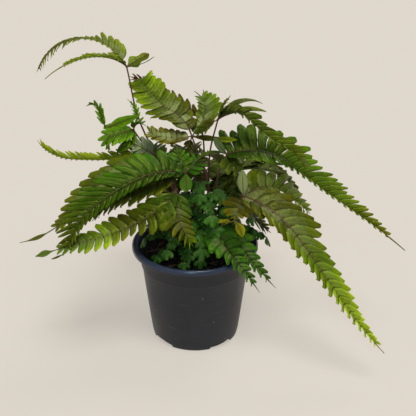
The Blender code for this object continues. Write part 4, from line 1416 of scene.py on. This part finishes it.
rng = np.random.default_rng(BRONZE_SEED)
bronze_route = [(9, 52, 140), (9, 70, 180), (5, 85, 205)]
bronze_look = {"fill": (0.8, 0.6), "crown": 0.3, "rib": 0.5, "point": (0.3, 1.0)}
shells = [as_stem(stalk_shell((7, 38), bronze_route)), knot_shell(bronze_route[-1])]
bronze_leaflets = [
    leaflet(
        90, (152, 160), (38, 8), 10,
        ((5, 7, 7, 6, 3, 1, 1, 4, 6, 5, 3), (6, 7, 6, 7, 5, 2, 1.5, 2, 5, 5, 3)),
        lift=(-30, 30), tint=(RUSSET, RUSSET, BRONZE, BRONZE), **bronze_look,
    ),
    leaflet(34, (60, 100), (60, 30), 6, 5, lift=(-40, -40), tint=(BRONZE, BRONZE), **bronze_look),
]
shells += all_leaf_shells(bronze_route[-1], bronze_leaflets, rng)
bronze_frond = make_piece("bronze_centre_leaves", shells, [bronze_leaf, bronze_stalk])
dressed(bronze_frond, "bronze_leaf", "bronze_centre")


# The plant stands on a plain pale table, whose matt top glows faintly, so that shadows stay weak.
# A high key light and a cooler low one shine from the front, a window light from behind on the
# right, and an even fill from both sides, in a dim studio with a pale backdrop.

TABLE_HALF = 6000.0


def make_table():
    bpy.ops.mesh.primitive_plane_add(size=2 * TABLE_HALF * MM)
    table = bpy.context.object
    table.name = "pale_table"
    material, _, shader = new_material("pale table", 0.9, 0.1)
    shader["Base Color"].default_value = (*colour(130, 124, 117), 1)
    shader["Emission Color"].default_value = (*colour(196, 189, 178), 1)
    shader["Emission Strength"].default_value = 0.83
    table.data.materials.append(material)
    table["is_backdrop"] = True


def soft_sun(name, azimuth, height, spread, strength, tint=(1, 1, 1)):
    """A broad even light. Azimuth 0 shines from the front and 90 from the right, height is above the
    level, and spread is how wide it looks, in degrees."""
    light = bpy.data.lights.new(name, "SUN")
    light.angle = radians(spread)
    light.energy = strength
    light.color = tint
    lamp = bpy.data.objects.new(name, light)
    bpy.context.scene.collection.objects.link(lamp)
    lamp.rotation_mode = "QUATERNION"
    lamp.rotation_quaternion = Vector(direction(azimuth - 90, height)).to_track_quat("Z", "Y")


make_table()
soft_sun("key", azimuth=15, height=70, spread=26, strength=2.3)
soft_sun("window", azimuth=140, height=50, spread=24, strength=0.9)
soft_sun("front", azimuth=-8, height=34, spread=12, strength=0.8, tint=(0.5, 0.76, 1.0))
soft_sun("left", azimuth=-65, height=40, spread=90, strength=0.4)
soft_sun("right", azimuth=75, height=40, spread=90, strength=0.4)


def make_studio():
    """A dim even light from all round, behind a backdrop of the table's pale tone."""
    world = bpy.data.worlds.new("studio")
    world.use_nodes = True
    tree = world.node_tree
    dim = tree.nodes["Background"]
    dim.inputs["Color"].default_value = (1, 0.97, 0.93, 1)
    dim.inputs["Strength"].default_value = 0.1
    backdrop = node(tree, "Background", {"Color": (*colour(223, 215, 204), 1)})
    seen = node(tree, "LightPath").outputs["Is Camera Ray"]
    mixed = node(tree, "MixShader", {0: seen, 1: dim.outputs[0], 2: backdrop.outputs[0]})
    tree.links.new(mixed.outputs[0], tree.nodes["World Output"].inputs["Surface"])
    bpy.context.scene.world = world


make_studio()
bpy.context.scene.view_settings.view_transform = "Standard"


# The camera has the photograph's view: from well in front of the plant and above it, down into the
# pot. Its place and its focal length were fitted to the pot's rim and foot.

CAMERA_PLACE = (13.3, -1146.7, 717.3)
CAMERA_PITCH = -26.6
FOCAL_PIXELS = 1270.0
FRAME_PIXELS = 416.0
SENSOR_WIDTH = 36.0

camera = bpy.data.objects.new("camera", bpy.data.cameras.new("camera"))
camera.data.sensor_width = SENSOR_WIDTH
camera.data.lens = SENSOR_WIDTH * FOCAL_PIXELS / FRAME_PIXELS
camera.location = Vector(CAMERA_PLACE) * MM
camera.rotation_euler = (radians(90 + CAMERA_PITCH), 0, 0)
bpy.context.scene.collection.objects.link(camera)
bpy.context.scene.camera = camera

boxes = {"cad": cad_box, "visual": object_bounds()}
{name: [list(corner) for corner in box] for name, box in boxes.items()}
